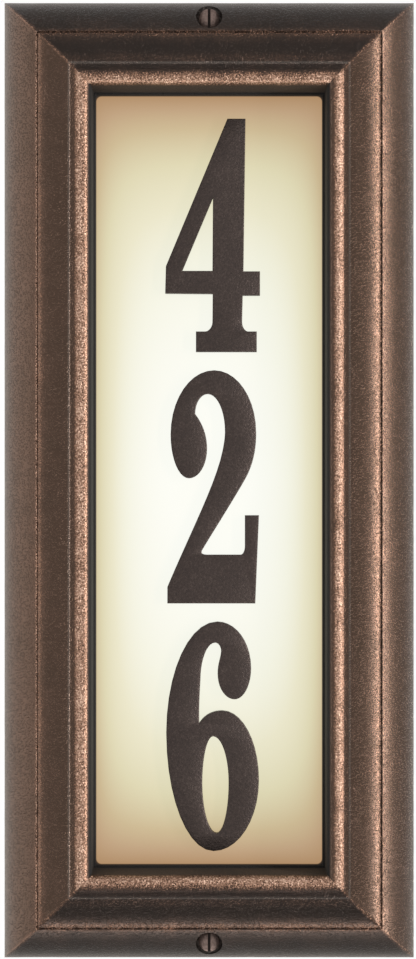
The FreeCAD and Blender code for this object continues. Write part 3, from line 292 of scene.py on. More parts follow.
def finished(name, builder, body, material, slot, replaced, angle):
    """A piece from a bmesh: it rides on a body and stands for a CAD node."""
    bmesh.ops.remove_doubles(builder, verts=builder.verts, dist=1e-7)
    piece = solid_object(name, builder)
    piece.data.materials.append(material)
    shaded(piece.data, angle)
    dressed(piece, body, slot, replaced)


def evaluate(thing, material):
    """Replaces an object's mesh by the plain one its modifiers give, in one material, and removes them."""
    bpy.context.view_layer.update()
    graph = bpy.context.evaluated_depsgraph_get()
    mesh = bpy.data.meshes.new_from_object(thing.evaluated_get(graph), preserve_all_data_layers=True,
                                           depsgraph=graph)
    thing.modifiers.clear()
    thing.data = mesh
    mesh.name = thing.name
    mesh.materials.clear()
    mesh.materials.append(material)
    mesh.polygons.foreach_set("material_index", [0] * len(mesh.polygons))


def through_tree(source, tree, inputs):
    """Replaces an object's mesh by what a node tree makes of it."""
    modifier = source.modifiers.new(tree.name, "NODES")
    modifier.node_group = tree
    sockets = {item.name: item.identifier for item in tree.interface.items_tree if item.in_out == "INPUT"}
    for name, value in inputs.items():
        modifier[sockets[name]] = value
    evaluate(source, inputs["Material"])


def carve(piece, operation, builder, angle):
    """Joins a closed form to a piece, or cuts it out of the piece, and shades the result."""
    tool = solid_object("tool", builder)
    cut = piece.modifiers.new(operation, "BOOLEAN")
    cut.operation, cut.solver, cut.object = operation, "MANIFOLD", tool
    evaluate(piece, piece.data.materials[0])
    bpy.data.objects.remove(tool)
    shaded(piece.data, angle)


# Node trees ----------------------------------------------------------------------------------------------

def new_tree(name, sockets):
    """A geometry node tree with named inputs, as (name, type, default), and those inputs' sockets."""
    tree = bpy.data.node_groups.new(name, "GeometryNodeTree")
    for way in ("INPUT", "OUTPUT"):
        tree.interface.new_socket("Geometry", in_out=way, socket_type="NodeSocketGeometry")
    for label, kind, default in sockets:
        socket = tree.interface.new_socket(label, in_out="INPUT", socket_type=f"NodeSocket{kind}")
        if default is not None:
            socket.default_value = default
    return tree, add(tree, "NodeGroupInput").node.outputs


def close_tree(tree, geometry, material):
    """Ends a tree in real geometry with its material."""
    real = add(tree, "GeometryNodeRealizeInstances", [geometry])
    painted = add(tree, "GeometryNodeSetMaterial", {"Geometry": real, "Material": material})
    add(tree, "NodeGroupOutput", [painted])
    return tree


def moulding_tree():
    """A section, drawn as a line of points (inset, height), carried round a rectangle with mitred corners."""
    tree, given = new_tree("Mitred moulding", [
        ("Half width", "Float", 0.089), ("Half height", "Float", 0.2075), ("Step", "Float", 0.0016),
        ("Unevenness", "Float", 0.0001), ("Lump size", "Float", 0.006), ("Seed", "Float", 4.0),
        ("Sharp angle", "Float", 0.6), ("Material", "Material", None)])
    rows = add(tree, "GeometryNodeAttributeDomainSize", [given["Geometry"]], "Point Count")
    index, place = add(tree, "GeometryNodeInputIndex"), add(tree, "GeometryNodeInputPosition")
    row = add(tree, MATH, (index, rows), operation="MODULO")
    column = add(tree, MATH, (add(tree, MATH, (index, row), operation="SUBTRACT"), rows), operation="DIVIDE")
    drawn = add(tree, "GeometryNodeSampleIndex", {
        "Geometry": given["Geometry"], "Value": place, "Index": row}, data_type="FLOAT_VECTOR")
    inset, height, _ = add(tree, SPLIT, [drawn]).node.outputs
    depth = add(tree, MATH, (height, -1.0), operation="MULTIPLY")
    joined = add(tree, "GeometryNodeJoinGeometry")
    for long_way, across_way, upright in (("Half height", "Half width", True),
                                          ("Half width", "Half height", False)):
        length = add(tree, MATH, (given[long_way], 2.0), operation="MULTIPLY")
        spans = add(tree, MATH, (length, given["Step"]), operation="DIVIDE")
        spans = add(tree, MATH, [spans], operation="FLOOR")
        sheet = add(tree, "GeometryNodeMeshGrid", {
            "Vertices X": add(tree, MATH, (spans, 1.0), operation="ADD"), "Vertices Y": rows})
        share = add(tree, MATH, (column, spans), operation="DIVIDE")
        share = add(tree, MATH, (share, 2.0, -1.0), operation="MULTIPLY_ADD")
        reach, across = [add(tree, MATH, (given[half], inset), operation="SUBTRACT")
                         for half in (long_way, across_way)]
        along = add(tree, MATH, (share, reach), operation="MULTIPLY")
        spot = add(tree, MERGE, (across, depth, along) if upright else (along, depth, across))
        laid = add(tree, "GeometryNodeSetPosition", {"Geometry": sheet, "Position": spot})
        if not upright:
            laid = add(tree, "GeometryNodeFlipFaces", [laid])
        opposite = add(tree, "GeometryNodeTransform", {"Geometry": laid, "Rotation": (0, math.pi, 0)})
        for member in (laid, opposite):
            feed(joined.node, [member])
    welded = add(tree, "GeometryNodeMergeByDistance", {"Geometry": joined, "Distance": 1e-5})
    lumps = add(tree, NOISE, {
        "Vector": place, "W": given["Seed"], "Detail": 1.0,
        "Scale": add(tree, MATH, (1.0, given["Lump size"]), operation="DIVIDE")}, noise_dimensions="4D")
    sink = add(tree, MATH, (lumps, given["Unevenness"]), operation="MULTIPLY")
    sink = add(tree, MATH, (sink, -1.0), operation="MULTIPLY")
    push = add(tree, "ShaderNodeVectorMath", {0: add(tree, "GeometryNodeInputNormal"), "Scale": sink},
               operation="SCALE")
    uneven = add(tree, "GeometryNodeSetPosition", {"Geometry": welded, "Offset": push})
    smooth = add(tree, "GeometryNodeSetShadeSmooth", {"Geometry": uneven, "Shade Smooth": True})
    flat_enough = add(tree, "FunctionNodeCompare", (
        add(tree, "GeometryNodeInputMeshEdgeAngle"), given["Sharp angle"]), operation="LESS_THAN")
    edged = add(tree, "GeometryNodeSetShadeSmooth", {"Geometry": smooth, "Shade Smooth": flat_enough},
                domain="EDGE")
    return close_tree(tree, edged, given["Material"])


def repeat_tree():
    """One item set on every point of a mesh, turned about the wall's axis by the points' turn attribute."""
    tree, given = new_tree("Repeat on spots", [("Item", "Object", None), ("Material", "Material", None)])
    turn = add(tree, "GeometryNodeInputNamedAttribute", {"Name": "turn"}, data_type="FLOAT")
    spread = add(tree, "GeometryNodeInstanceOnPoints", {
        "Points": given["Geometry"], "Rotation": add(tree, MERGE, {1: turn}),
        "Instance": add(tree, "GeometryNodeObjectInfo", {"Object": given["Item"]}, "Geometry")})
    return close_tree(tree, spread, given["Material"])


def repeated(name, builder, spots, body, slot, replaced):
    """Copies of one item at several (x, z, turn) spots, as one plain mesh in the finish of its slot."""
    item = solid_object(f"{name}_item", builder)
    shaded(item.data, math.radians(35))
    base = bpy.data.meshes.new(name)
    base.from_pydata([(x, 0, z) for x, z, _ in spots], [], [])
    base.attributes.new("turn", "FLOAT", "POINT").data.foreach_set("value", [turn for _, _, turn in spots])
    piece = placed(name, base)
    through_tree(piece, bpy.data.node_groups.get("Repeat on spots") or repeat_tree(),
                 {"Item": item, "Material": finish_of(slot)})
    bpy.data.objects.remove(item)
    dressed(piece, body, slot, replaced)
    return piece


# Finishes ------------------------------------------------------------------------------------------------

def edge_distance(tree, place, half):
    """How far inside a rectangle's edge a point lies, on X and on Z, in millimetres."""
    x, _, z = add(tree, SPLIT, [place]).node.outputs
    depths = []
    for size, value in zip(half, (x, z)):
        off_centre = add(tree, MATH, [value], operation="ABSOLUTE")
        depths.append(add(tree, MATH, (off_centre, -1 / MM, size / MM), operation="MULTIPLY_ADD"))
    return depths


def rubbed_bronze():
    """Sand-cast aluminium under dark bronze powder coat, rubbed back by hand to a coppery gilding wax.

    The eye sees a near-black brown in the flats, copper and pink on the bead, the lips of the groove and
    the mitres, and a pebbled grain of about half a millimetre that glitters where a lamp is mirrored. The
    coat is painted lighter on the long sides, where the lamps fall, and darker on the ends: painted light and
    shade.
    """
    material, tree, shader, place = new_material("cast aluminium, bronze powder coat with rubbed copper")
    finishes = bpy.context.scene.house_sign
    in_x, in_z = edge_distance(tree, place, (HALF_W, HALF_H))
    inset = add(tree, MATH, (in_x, in_z), operation="MINIMUM")
    side = add(tree, MATH, (in_x, in_z), operation="LESS_THAN")
    # how far each part of the section is rubbed, by its inset
    across = add(tree, MATH, (inset, BORDER), operation="DIVIDE")
    rubs = []
    for wear in (END_WEAR, SIDE_WEAR):
        rub = add(tree, "ShaderNodeFloatCurve", {1: across})
        mapping = rub.node.mapping
        for number, (at, amount) in enumerate(wear):
            points = mapping.curves[0].points
            point = points[number] if number < 2 else points.new(at / BORDER, amount)
            point.location = (at / BORDER, amount)
            point.handle_type = "VECTOR"
        mapping.update()
        rubs.append(rub)
    rub = add(tree, MIX, {0: side, 2: rubs[0], 3: rubs[1]})
    # the mitres are rubbed too, for about a millimetre to each side
    gap = add(tree, MATH, [add(tree, MATH, (in_x, in_z), operation="SUBTRACT")], operation="ABSOLUTE")
    mitre = add(tree, RANGE, (gap, 0.0, 2.2, 0.24, 0.0), **SMOOTH)
    worn = add(tree, MATH, (rub, mitre), operation="MAXIMUM")
    # the wax stays on the grain's tops, and thins out in patches
    grain, lumps, patches = [
        add(tree, NOISE, {"Vector": place, "Scale": 1 / (size * MM), "Detail": detail, "Roughness": rough})
        for size, detail, rough in ((0.6, 2.0, 0.6), (0.8, 1.0, 0.5), (11.0, 4.0, 0.6))]
    pebble = add(tree, RANGE, (lumps, 0.5, 0.68), **SMOOTH)
    tops = add(tree, RANGE, (grain, 0.35, 0.65, 0.4, 1.3))
    tops = add(tree, MATH, (pebble, 0.7, tops), operation="MULTIPLY_ADD")
    cloud = add(tree, RANGE, (patches, 0.3, 0.7, 0.7, 1.3))
    # painted shade: on the right-hand side the bead's window flank, which faces away from the key lamp, is
    # painted less rubbed and so darker
    x, y, _ = add(tree, SPLIT, [place]).node.outputs
    right = add(tree, MATH, (side, add(tree, MATH, (x, 0.0), operation="GREATER_THAN")), operation="MULTIPLY")
    right_flank_shade = add(tree, RANGE, (inset, 34.4, 36.6, 0.0, 0.85), **SMOOTH)
    right_flank_shade = add(tree, MATH, (right_flank_shade, right), operation="MULTIPLY")
    for factor in (add(tree, MATH, (tops, cloud), operation="MULTIPLY"),
                   add(tree, MATH, (1.0, right_flank_shade), operation="SUBTRACT")):
        worn = add(tree, MATH, (worn, factor), operation="MULTIPLY")
    # real mottling in lighter brown patches, laid on more on the long sides as painted light
    stain_and_side_light = add(tree, MATH, (patches, add(tree, RANGE, (side, 0.0, 1.0, 0.15, 0.5))), operation="MULTIPLY")
    waxed = add(tree, RAMP, [worn], stops=[
        (0.0, finishes.brown), (0.5, finishes.copper), (1.0, finishes.pink)])
    # painted reflection: the outer edge of the face and the ridge are painted grey, for the pale room
    # mirrored there; painted shade: the wall of the window is painted near-black and dulled, so that it
    # mirrors little of the glowing panel
    brow = add(tree, RANGE, (y, -0.0225, -0.0275, 0.0, 0.85), **SMOOTH)
    fade = add(tree, MATH, [add(tree, MATH, (inset, -1.6), operation="DIVIDE")], operation="EXPONENT")
    off_ridge = add(tree, MATH, [add(tree, MATH, (inset, 29.0), operation="SUBTRACT")], operation="ABSOLUTE")
    painted_rim_sheen = add(tree, MATH, (add(tree, MATH, (fade, brow), operation="MULTIPLY"),
                           add(tree, RANGE, (off_ridge, 0.1, 0.7, 0.22, 0.0), **SMOOTH)), operation="MAXIMUM")
    # painted shade: the wall of the window, from 37.8 to 38.9 mm in, a millimetre further out on the long
    # sides, is painted near-black
    inner = add(tree, RANGE, (add(tree, MATH, (inset, side), operation="ADD"), 37.8, 38.9), **SMOOTH)
    # painted light and shade: one coat, lighter on the long sides where the lamps fall, darker on the top and
    # bottom
    painted = colour(finishes.shaded_end_coat)
    for share, shade in ((side, colour(finishes.lit_side_coat)), (stain_and_side_light, colour(finishes.brown)),
                         (add(tree, RANGE, (worn, 0.04, 0.5)), waxed), (painted_rim_sheen, colour(finishes.painted_rim_sheen)),
                         (inner, colour(finishes.inner))):
        painted = add(tree, MIX, {0: share, 6: painted, 7: shade}, 2, data_type="RGBA")
    metal, gloss = [add(tree, MIX, {0: inner, 2: add(tree, RANGE, (worn, 0.15, 0.6, low, high)), 3: dull})
                    for low, high, dull in ((0.86, 0.95, 0.1), (0.22, 0.4, 0.9))]
    relief = add(tree, MIX, {0: 0.6, 2: grain, 3: pebble})
    feed(shader, {"Base Color": painted, "Metallic": metal, "Roughness": gloss,
                  "Normal": add(tree, BUMP, {"Height": relief, "Distance": 0.22 * MM})})
    return material


def numeral_bronze():
    """Die-cast zinc, dark bronze plated and finely pebbled: a warm near-black with scattered small lights."""
    material, tree, shader, place = new_material("die-cast zinc, dark bronze plated")
    grain, cloud = [
        add(tree, NOISE, {"Vector": place, "Scale": 1 / (size * MM), "Detail": 2.0, "Roughness": roughness})
        for size, roughness in ((0.8, 0.6), (12.0, 0.55))]
    both = add(tree, MIX, {0: 0.25, 2: grain, 3: cloud})
    feed(shader, {
        "Base Color": add(tree, RAMP, [both], stops=[
            (0.34, "#3a322f"), (0.56, "#443a36"), (0.74, "#554a45")]),
        "Metallic": 0.8,
        "Roughness": add(tree, RANGE, (grain, 0.0, 1.0, 0.5, 0.34)),
        "Normal": add(tree, BUMP, {"Height": grain, "Distance": 0.2 * MM})})
    return material


def opal_sheet():
    """Cast acrylic sheet, amber opal, with the light of the lamps behind it painted on as emission.

    The eye sees painted light: white by the lamps, straw towards the sides and tan at the ends.
    """
    material, tree, shader, place = new_material("cast acrylic sheet, amber opal")
    depths = edge_distance(tree, place, (HALF_W - BORDER * MM, HALF_H - BORDER * MM))
    # painted light: it falls off towards the reflector's sides within about 10 mm, and towards its ends
    # within 40 mm
    falls = []
    for depth, reach, lost in zip(depths, (10.0, 40.0), (0.58, 1.0)):
        decay = add(tree, MATH, (depth, -1 / reach), operation="MULTIPLY")
        decay = add(tree, MATH, [decay], operation="EXPONENT")
        falls.append(add(tree, MATH, (decay, -lost, 1.0), operation="MULTIPLY_ADD"))
    painted_glow = add(tree, RAMP, [add(tree, MATH, falls, operation="MULTIPLY")], stops=[
        (0.0, "#b08c66"), (0.13, "#bc9e7b"), (0.30, "#c9b68f"), (0.52, "#dcd6b2"), (0.70, "#e8e5c9"),
        (0.84, "#f2f3e3"), (0.96, "#fafcf5")])
    # the soft ring's rounded corners cover the sheet's corners
    legs = []
    for depth in depths:
        short = add(tree, MATH, (2.4, depth), operation="SUBTRACT")
        legs.append(add(tree, MATH, (short, 0.0), operation="MAXIMUM"))
    corner = add(tree, "ShaderNodeVectorMath", [add(tree, MERGE, legs)], "Value", operation="LENGTH")
    covered = add(tree, RANGE, (corner, 2.1, 2.6), **SMOOTH)
    haze = add(tree, NOISE, {"Vector": place, "Scale": 1 / (1.4 * MM), "Detail": 2.0, "Roughness": 0.55})
    feed(shader, {
        "Emission Color": add(tree, MIX, {0: covered, 6: painted_glow, 7: colour("#2b2118")}, 2, data_type="RGBA"),
        "Emission Strength": 0.95,
        "Base Color": colour("#3a2c20"),
        "IOR": 1.49,
        "Roughness": add(tree, RANGE, (haze, 0.0, 1.0, 0.36, 0.48)),
        "Normal": add(tree, BUMP, {"Height": haze, "Distance": 0.02 * MM})})
    return material


def clear_glass():
    """Clear soda-lime glass, drawn: nearly invisible face on, with bright rims."""
    material, tree, shader, place = new_material("soda-lime glass, drawn")
    ripple = add(tree, NOISE, {"Vector": place, "Scale": 1 / (3.0 * MM), "Detail": 1.0, "Roughness": 0.55})
    feed(shader, {
        "Base Color": colour("#f2f5f2"),
        "Transmission Weight": 1.0,
        "IOR": 1.5,
        "Roughness": add(tree, RANGE, (ripple, 0.0, 1.0, 0.0, 0.06)),
        "Normal": add(tree, BUMP, {"Height": ripple, "Distance": 0.05 * MM})})
    return material


def screw_bronze():
    """Plated steel screw: purple-brown, bright where it is handled, with painted shade deep in the slot."""
    material = surface("steel screw, bronze plated", "#86736b", "#574843", 0.9, 0.85, (0.3, 0.5), 0.12)
    tree = material.node_tree
    shader = tree.nodes["Principled BSDF"]
    x, y, _ = add(tree, SPLIT, [add(tree, "ShaderNodeTexCoord", output="Object")]).node.outputs
    # painted shade: inside the slot the plating is painted darker from 0.3 mm below the head's top,
    # near-black by 0.9 mm
    off_centre = add(tree, MATH, [x], operation="ABSOLUTE")
    within = add(tree, MATH, (off_centre, SLOT * 0.52 * MM), operation="LESS_THAN")
    deep = add(tree, RANGE, (y, -(SCREW_TOP - 0.3) * MM, -(SCREW_TOP - 0.9) * MM), **SMOOTH)
    slot_shade = add(tree, MATH, (within, deep), operation="MULTIPLY")
    plating = shader.inputs["Base Color"].links[0].from_socket
    slot_shaded = add(tree, MIX, {0: slot_shade, 6: plating, 7: colour("#1e1714")}, 2, data_type="RGBA")
    feed(shader, {"Base Color": slot_shaded})
    return material


def plain_finishes():
    """The finishes of the small and inner parts, by the record's slot names."""
    return {
        "bronze_screw": screw_bronze(),
        # soft moulded rubber: deep, even black with a faint bloom
        "soft_rubber": surface("moulded rubber", "#26262a", "#17171a", 0.6, 0.0, (0.6, 0.75), 0.03),
        # closed-cell foam: dull grey-black with open cells about a millimetre across
        "seal_foam": surface("closed-cell foam", "#36373a", "#1c1d1f", 1.0, 0.0, (0.85, 0.95), 0.25),
        # white acrylic foam tape: chalky, with a fine open edge
        "foam_tape": surface("acrylic foam tape", "#e6e5df", "#cfcdc5", 0.8, 0.0, (0.7, 0.85), 0.08),
        # rolled spring steel, zinc plated: long fine rolling lines
        "spring_steel": surface("spring steel strip, zinc plated", "#b4b4ac", "#8f9089", 0.5, 1.0,
                                (0.26, 0.4), 0.02, (1, 1, 12)),
        # bright zinc: bluish and slightly cloudy
        "zinc_steel": surface("steel, bright zinc", "#c4c8c8", "#9fa3a3", 0.9, 1.0, (0.22, 0.36), 0.02),
        # natural nylon: warm white with a faint waxy gloss
        "nylon": surface("moulded nylon", "#e4dfce", "#d3cdbb", 2.0, 0.0, (0.4, 0.52), 0.02,
                         Subsurface_Weight=0.08),
        # free-cutting brass, turned: fine rings and a soft yellow shine
        "turned_brass": surface("turned brass", "#cfa857", "#a8833c", 0.35, 1.0, (0.24, 0.36), 0.015,
                                (1, 14, 1)),
        # mill-finish aluminium: rolled along its length, light handling marks
        "aluminium_sheet": surface("aluminium sheet, mill finish", "#b9bbbd", "#95989b", 0.7, 1.0,
                                   (0.3, 0.44), 0.015, (1, 1, 0.06)),
        # stove enamel: even gloss white with slight orange peel
        "white_enamel": surface("white stove enamel", "#f0f0ec", "#e2e2dc", 2.2, 0.0, (0.2, 0.3), 0.03),
        # moulded phenolic: dense black with a dull sheen
        "phenolic_black": surface("moulded phenolic", "#1f1d1c", "#121110", 0.9, 0.0, (0.35, 0.5), 0.02),
        # drawn tungsten wire: dull silver-grey
        "tungsten": surface("drawn tungsten wire", "#8a8a8e", "#5c5c60", 0.2, 1.0, (0.3, 0.45), 0.01),
        # vinyl insulation: even, with a soft moulded gloss
        "lead_black": surface("vinyl insulation, black", "#1b1b1d", "#111113", 1.2, 0.0, (0.34, 0.46), 0.02),
        "lead_white": surface("vinyl insulation, white", "#e9e8e4", "#d8d7d2", 1.2, 0.0, (0.34, 0.46), 0.02),
        "lamp_glass": clear_glass(),
    }


def finish_of(slot):
    """The material made for a slot of the record."""
    return bpy.data.materials[bpy.context.scene["house_sign_finishes"][slot]]


def refinish(*nodes):
    """Gives CAD nodes the material made for their own slots."""
    slots = {part["node"]: part["material_slot"] for part in frame["record"]["subparts"]}
    for name in nodes:
        thing = frame["nodes"][name]
        for slot in thing.material_slots:
            slot.material = finish_of(slots[name])


# Settings ------------------------------------------------------------------------------------------------

LENGTH = {"unit": "LENGTH", "subtype": "DISTANCE"}
POWER = {"unit": "POWER", "min": 0.0}


class HouseSignSettings(bpy.types.PropertyGroup):
    """Sizes and colours that a user would change."""
    facet: FloatProperty(name="Facet", description="Length of the moulding's facets", default=0.0016,
                         min=0.0005, **LENGTH)
    unevenness: FloatProperty(name="Unevenness", description="How deep the casting's surface wanders",
                              default=0.00012, min=0.0, **LENGTH)
    lump: FloatProperty(name="Lump size", description="Width of the casting's uneven places", default=0.007,
                        min=0.001, **LENGTH)
    # painted light and shade: the coat's colour on the long sides is a lit copy, on the ends a shaded copy
    lit_side_coat: StringProperty(name="Coat, sides", description="sRGB hex colour of the coat on the long sides",
                              default="#42342a")
    shaded_end_coat: StringProperty(name="Coat, ends", default="#25201d",
                             description="sRGB hex colour of the coat on the top and bottom")
    brown: StringProperty(name="Half rubbed", description="sRGB hex colour where the coat is half rubbed",
                          default="#5c463b")
    copper: StringProperty(name="Rubbed", description="sRGB hex colour of the rubbed copper",
                           default="#8b6a57")
    pink: StringProperty(name="Brightest", description="sRGB hex colour where the copper is polished",
                         default="#cdac97")
    # painted reflection: the grey mirrored at the outer edge of the face and at the ridge
    painted_rim_sheen: StringProperty(name="Rim", description="sRGB hex colour of the handled outer rim", default="#8b837c")
    # painted shade: the near-black of the wall round the window
    inner: StringProperty(name="Window wall", description="sRGB hex colour of the wall round the window",
                          default="#15110e")
    bevel: FloatProperty(name="Numeral bevel", description="Bevel round a numeral's face", default=0.00045,
                         min=0.0001, **LENGTH)
    key: FloatProperty(name="Key lamp", description="Power of the lamp on the right", default=28.0, **POWER)
    fill: FloatProperty(name="Fill lamp", description="Power of the lamp on the left", default=10.0, **POWER)
    low: FloatProperty(name="Low lamp", description="Power of the lamp below", default=8.0, **POWER)
    room: FloatProperty(name="Room", description="Level of the room's light", default=0.25, min=0.0)


# The pieces ----------------------------------------------------------------------------------------------

def face_height(inset, points):
    """Height of the moulding's face at an inset."""
    for low, high in zip(points, points[1:]):
        if low.x <= inset <= high.x and high.x > low.x:
            return low.y + (high.y - low.y) * (inset - low.x) / (high.x - low.x)
    raise RuntimeError(f"no face at inset {inset}")


class HOUSESIGN_OT_moulding(bpy.types.Operator):
    """Makes the mitred cast frame with its screw recesses and bosses"""
    bl_idname = "house_sign.moulding"
    bl_label = "Cast frame"

    def execute(self, context):
        sizes = context.scene.house_sign
        face = section_points(SECTION_FACE + SECTION_BACK[:1], FACE_STEP)
        back = section_points(SECTION_BACK + SECTION_FACE[:1], BACK_STEP)
        line = [(p.x * MM, p.y * MM, 0) for p in face + back + face[:1]]
        mesh = bpy.data.meshes.new("frame_moulding")
        mesh.from_pydata(line, [(k, k + 1) for k in range(len(line) - 1)], [])
        piece = placed("frame_moulding", mesh)
        through_tree(piece, moulding_tree(), {
            "Half width": HALF_W, "Half height": HALF_H, "Step": sizes.facet, "Unevenness": sizes.unevenness,
            "Lump size": sizes.lump, "Material": rubbed_bronze()})

        solids, drills = bmesh.new(), bmesh.new()
        pocket = BOSS_FOOT + WASHER_ROOM
        for z in (SCREW_Z, -SCREW_Z):
            turned(solids, [(0, BOSS_FOOT), (BOSS_RADIUS, BOSS_FOOT), (BOSS_RADIUS, BOSS_BRIM),
                            (0, BOSS_BRIM + 6)], (0, z), 64)
            turned(drills, [(0, BELOW), (WASHER_RADIUS, BELOW), (WASHER_RADIUS, pocket), (SHANK_ROOM, pocket),
                            (SHANK_ROOM, RECESS_FLOOR), (RECESS_RADIUS, RECESS_FLOOR), (RECESS_RADIUS, ABOVE),
                            (0, ABOVE)], (0, z), 64)
        for vert in solids.verts:
            if abs(vert.co.y + BOSS_BRIM * MM) < 1e-6:
                inset = (HALF_H - abs(vert.co.z)) / MM
                vert.co.y = (SKIN - face_height(inset, face)) * MM
        for x, z, _ in clip_spots():
            turned(solids, [(0, LENS_BACK), (CLIP_BOSS, LENS_BACK), (CLIP_BOSS, CLIP_BOSS_TOP),
                            (0, CLIP_BOSS_TOP)], (x, z))
            turned(drills, [(0, BELOW), (CLIP_SCREW, BELOW), (CLIP_SCREW, LENS_BACK + CLIP_SCREW_LENGTH),
                            (0, LENS_BACK + CLIP_SCREW_LENGTH)], (x, z), 24)
        carve(piece, "UNION", solids, HARD_EDGE)
        carve(piece, "DIFFERENCE", drills, HARD_EDGE)
        dressed(piece, "front", "cast_bronze", "front_frame")
        return {"FINISHED"}


def numeral_outline(strokes, steps=10):
    """Points round one outline of a numeral, in millimetres."""
    pen = Vector(strokes[0])
    points = []
    for kind, *numbers in strokes[1:]:
        ends = [Vector(pair) for pair in zip(numbers[::2], numbers[1::2])]
        last = ends[-1]
        if kind == "to":
            points.append(pen)
        else:
            run, rise = Vector((last.x - pen.x, 0)) * HANDLE, Vector((0, last.y - pen.y)) * HANDLE
            first, second = {"via": ends[:2], "over": (pen + run, last - rise),
                             "up": (pen + rise, last - run)}[kind]
            for k in range(steps):
                t = k / steps
                points.append(pen * (1 - t) ** 3 + first * 3 * t * (1 - t) ** 2 + second * 3 * t * t * (1 - t)
                              + last * t ** 3)
        pen = last
    return points


def inset_outline(points, amount):
    """A closed outline moved to its left, with mitred corners."""
    moved = []
    for before, here, after in zip([points[-1], *points[:-1]], points, [*points[1:], points[0]]):
        one, other = (here - before).normalized(), (after - here).normalized()
        lefts = [Vector((-way.y, way.x)) for way in (one, other)]
        moved.append(here + (lefts[0] + lefts[1]) * (amount / max(0.3, 1 + lefts[0].dot(lefts[1]))))
    return moved


class HOUSESIGN_OT_numerals(bpy.types.Operator):
    """Makes the three raised numerals with their eased faces"""
    bl_idname = "house_sign.numerals"
    bl_label = "Numerals"

    def execute(self, context):
        bevel = context.scene.house_sign.bevel / MM
        material = numeral_bronze()
        for name, outlines in NUMERALS.items():
            low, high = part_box(name)
            foot, top = -high.y / MM, -low.y / MM
            layers = ((0, foot), (0, top - bevel * 0.6), (bevel * 0.15, top - bevel * 0.38),
                      (bevel * 0.85, top))
            builder, backs, fronts = bmesh.new(), [], []
            for number, strokes in enumerate(outlines):
                base = numeral_outline(strokes)
                area = sum(a.x * b.y - b.x * a.y for a, b in zip(base, base[1:] + base[:1]))
                inward = 1 if (area > 0) == (number == 0) else -1
                rings = [[builder.verts.new((low.x + p.x * MM, -height * MM, low.z + p.y * MM))
                          for p in inset_outline(base, inward * inset)] for inset, height in layers]
                walled(builder, rings)
                backs.append(rings[0])
                fronts.append(rings[-1])
            capped(builder, backs)
            capped(builder, fronts)
            finished(f"{name}_cast", builder, "front", material, "bronze_numeral", name, KEEN_EDGE)
        return {"FINISHED"}


class HOUSESIGN_OT_panel(bpy.types.Operator):
    """Finishes the glowing panel, its soft ring and the numerals' foam pads"""
    bl_idname = "house_sign.panel"
    bl_label = "Glowing panel"

    def execute(self, context):
        frame["nodes"]["lens"].material_slots[0].material = opal_sheet()
        refinish("lens_gasket", "digit_four_tape", "digit_two_tape", "digit_six_tape")
        return {"FINISHED"}


def frame_screw_item():
    """An oval-head screw in place off the wall, its axis at the origin, before its slot is cut."""
    ball = (HEAD_RADIUS ** 2 + HEAD_CROWN ** 2) / (2 * HEAD_CROWN)
    crown = [(radius, SCREW_TOP - ball + math.sqrt(ball ** 2 - radius ** 2))
             for radius in (HEAD_RADIUS * (1 - k / 8) for k in range(9))]
    return turned(bmesh.new(), [
        (0, SCREW_TIP), (SHANK - 0.3, SCREW_TIP), (SHANK, SCREW_TIP + 0.4), (SHANK, SCREW_SEAT),
        (HEAD_RADIUS - 0.2, SCREW_SEAT), (HEAD_RADIUS, SCREW_SEAT + 0.2), *crown], segments=64)


class HOUSESIGN_OT_screws(bpy.types.Operator):
    """Makes the two slotted frame screws and finishes their washers"""
    bl_idname = "house_sign.screws"
    bl_label = "Frame screws"

    def execute(self, context):
        for end, axis in (("top", SCREW_Z), ("bottom", -SCREW_Z)):
            piece = repeated(f"{end}_slotted_screw", frame_screw_item(), [(0, axis, 0)], f"{end}_screw_body",
                             "bronze_screw", f"{end}_screw")
            slot = bmesh.new()
            bmesh.ops.create_cube(slot, size=1.0)
            for vert in slot.verts:
                height = SCREW_TOP + 2 if vert.co.y < 0 else SCREW_TOP - SLOT
                vert.co = Vector((vert.co.x * SLOT * MM, -height * MM, axis + vert.co.z * SLOT_LENGTH * MM))
            carve(piece, "DIFFERENCE", slot, KEEN_EDGE)
        refinish("top_retainer", "bottom_retainer", "top_post", "bottom_post")
        return {"FINISHED"}


def clip_spots():
    """Where the lens clips' screws stand, with each clip's turn about the wall's axis."""
    side, end = HALF_W - CLIP_INSET * MM, HALF_H - CLIP_INSET * MM
    spots = [(sign * side, row * CLIP_PITCH * MM, math.pi * (sign < 0))
             for sign in (1, -1) for row in (-1, 0, 1)]
    return spots + [(0, end, -math.pi / 2), (0, -end, math.pi / 2)]


def pan_head(radius, thick, foot, shank, reach):
    """A pan-head screw with a cone sunk in its head, from the height of its head's foot to where its shank
    reaches.
    """
    way = 1 if reach > foot else -1
    top = foot - way * thick
    return turned(bmesh.new(), [
        (0, reach), (shank * 0.8, reach), (shank, reach - way * 0.4), (shank, foot), (radius, foot),
        (radius, foot - way * thick * 0.45), (radius * 0.93, foot - way * thick * 0.75),
        (radius * 0.75, foot - way * thick * 0.93), (radius * 0.45, top), (radius * 0.42, top),
        (radius * 0.3, top + way * thick * 0.6), (0, top + way * thick * 0.75)])


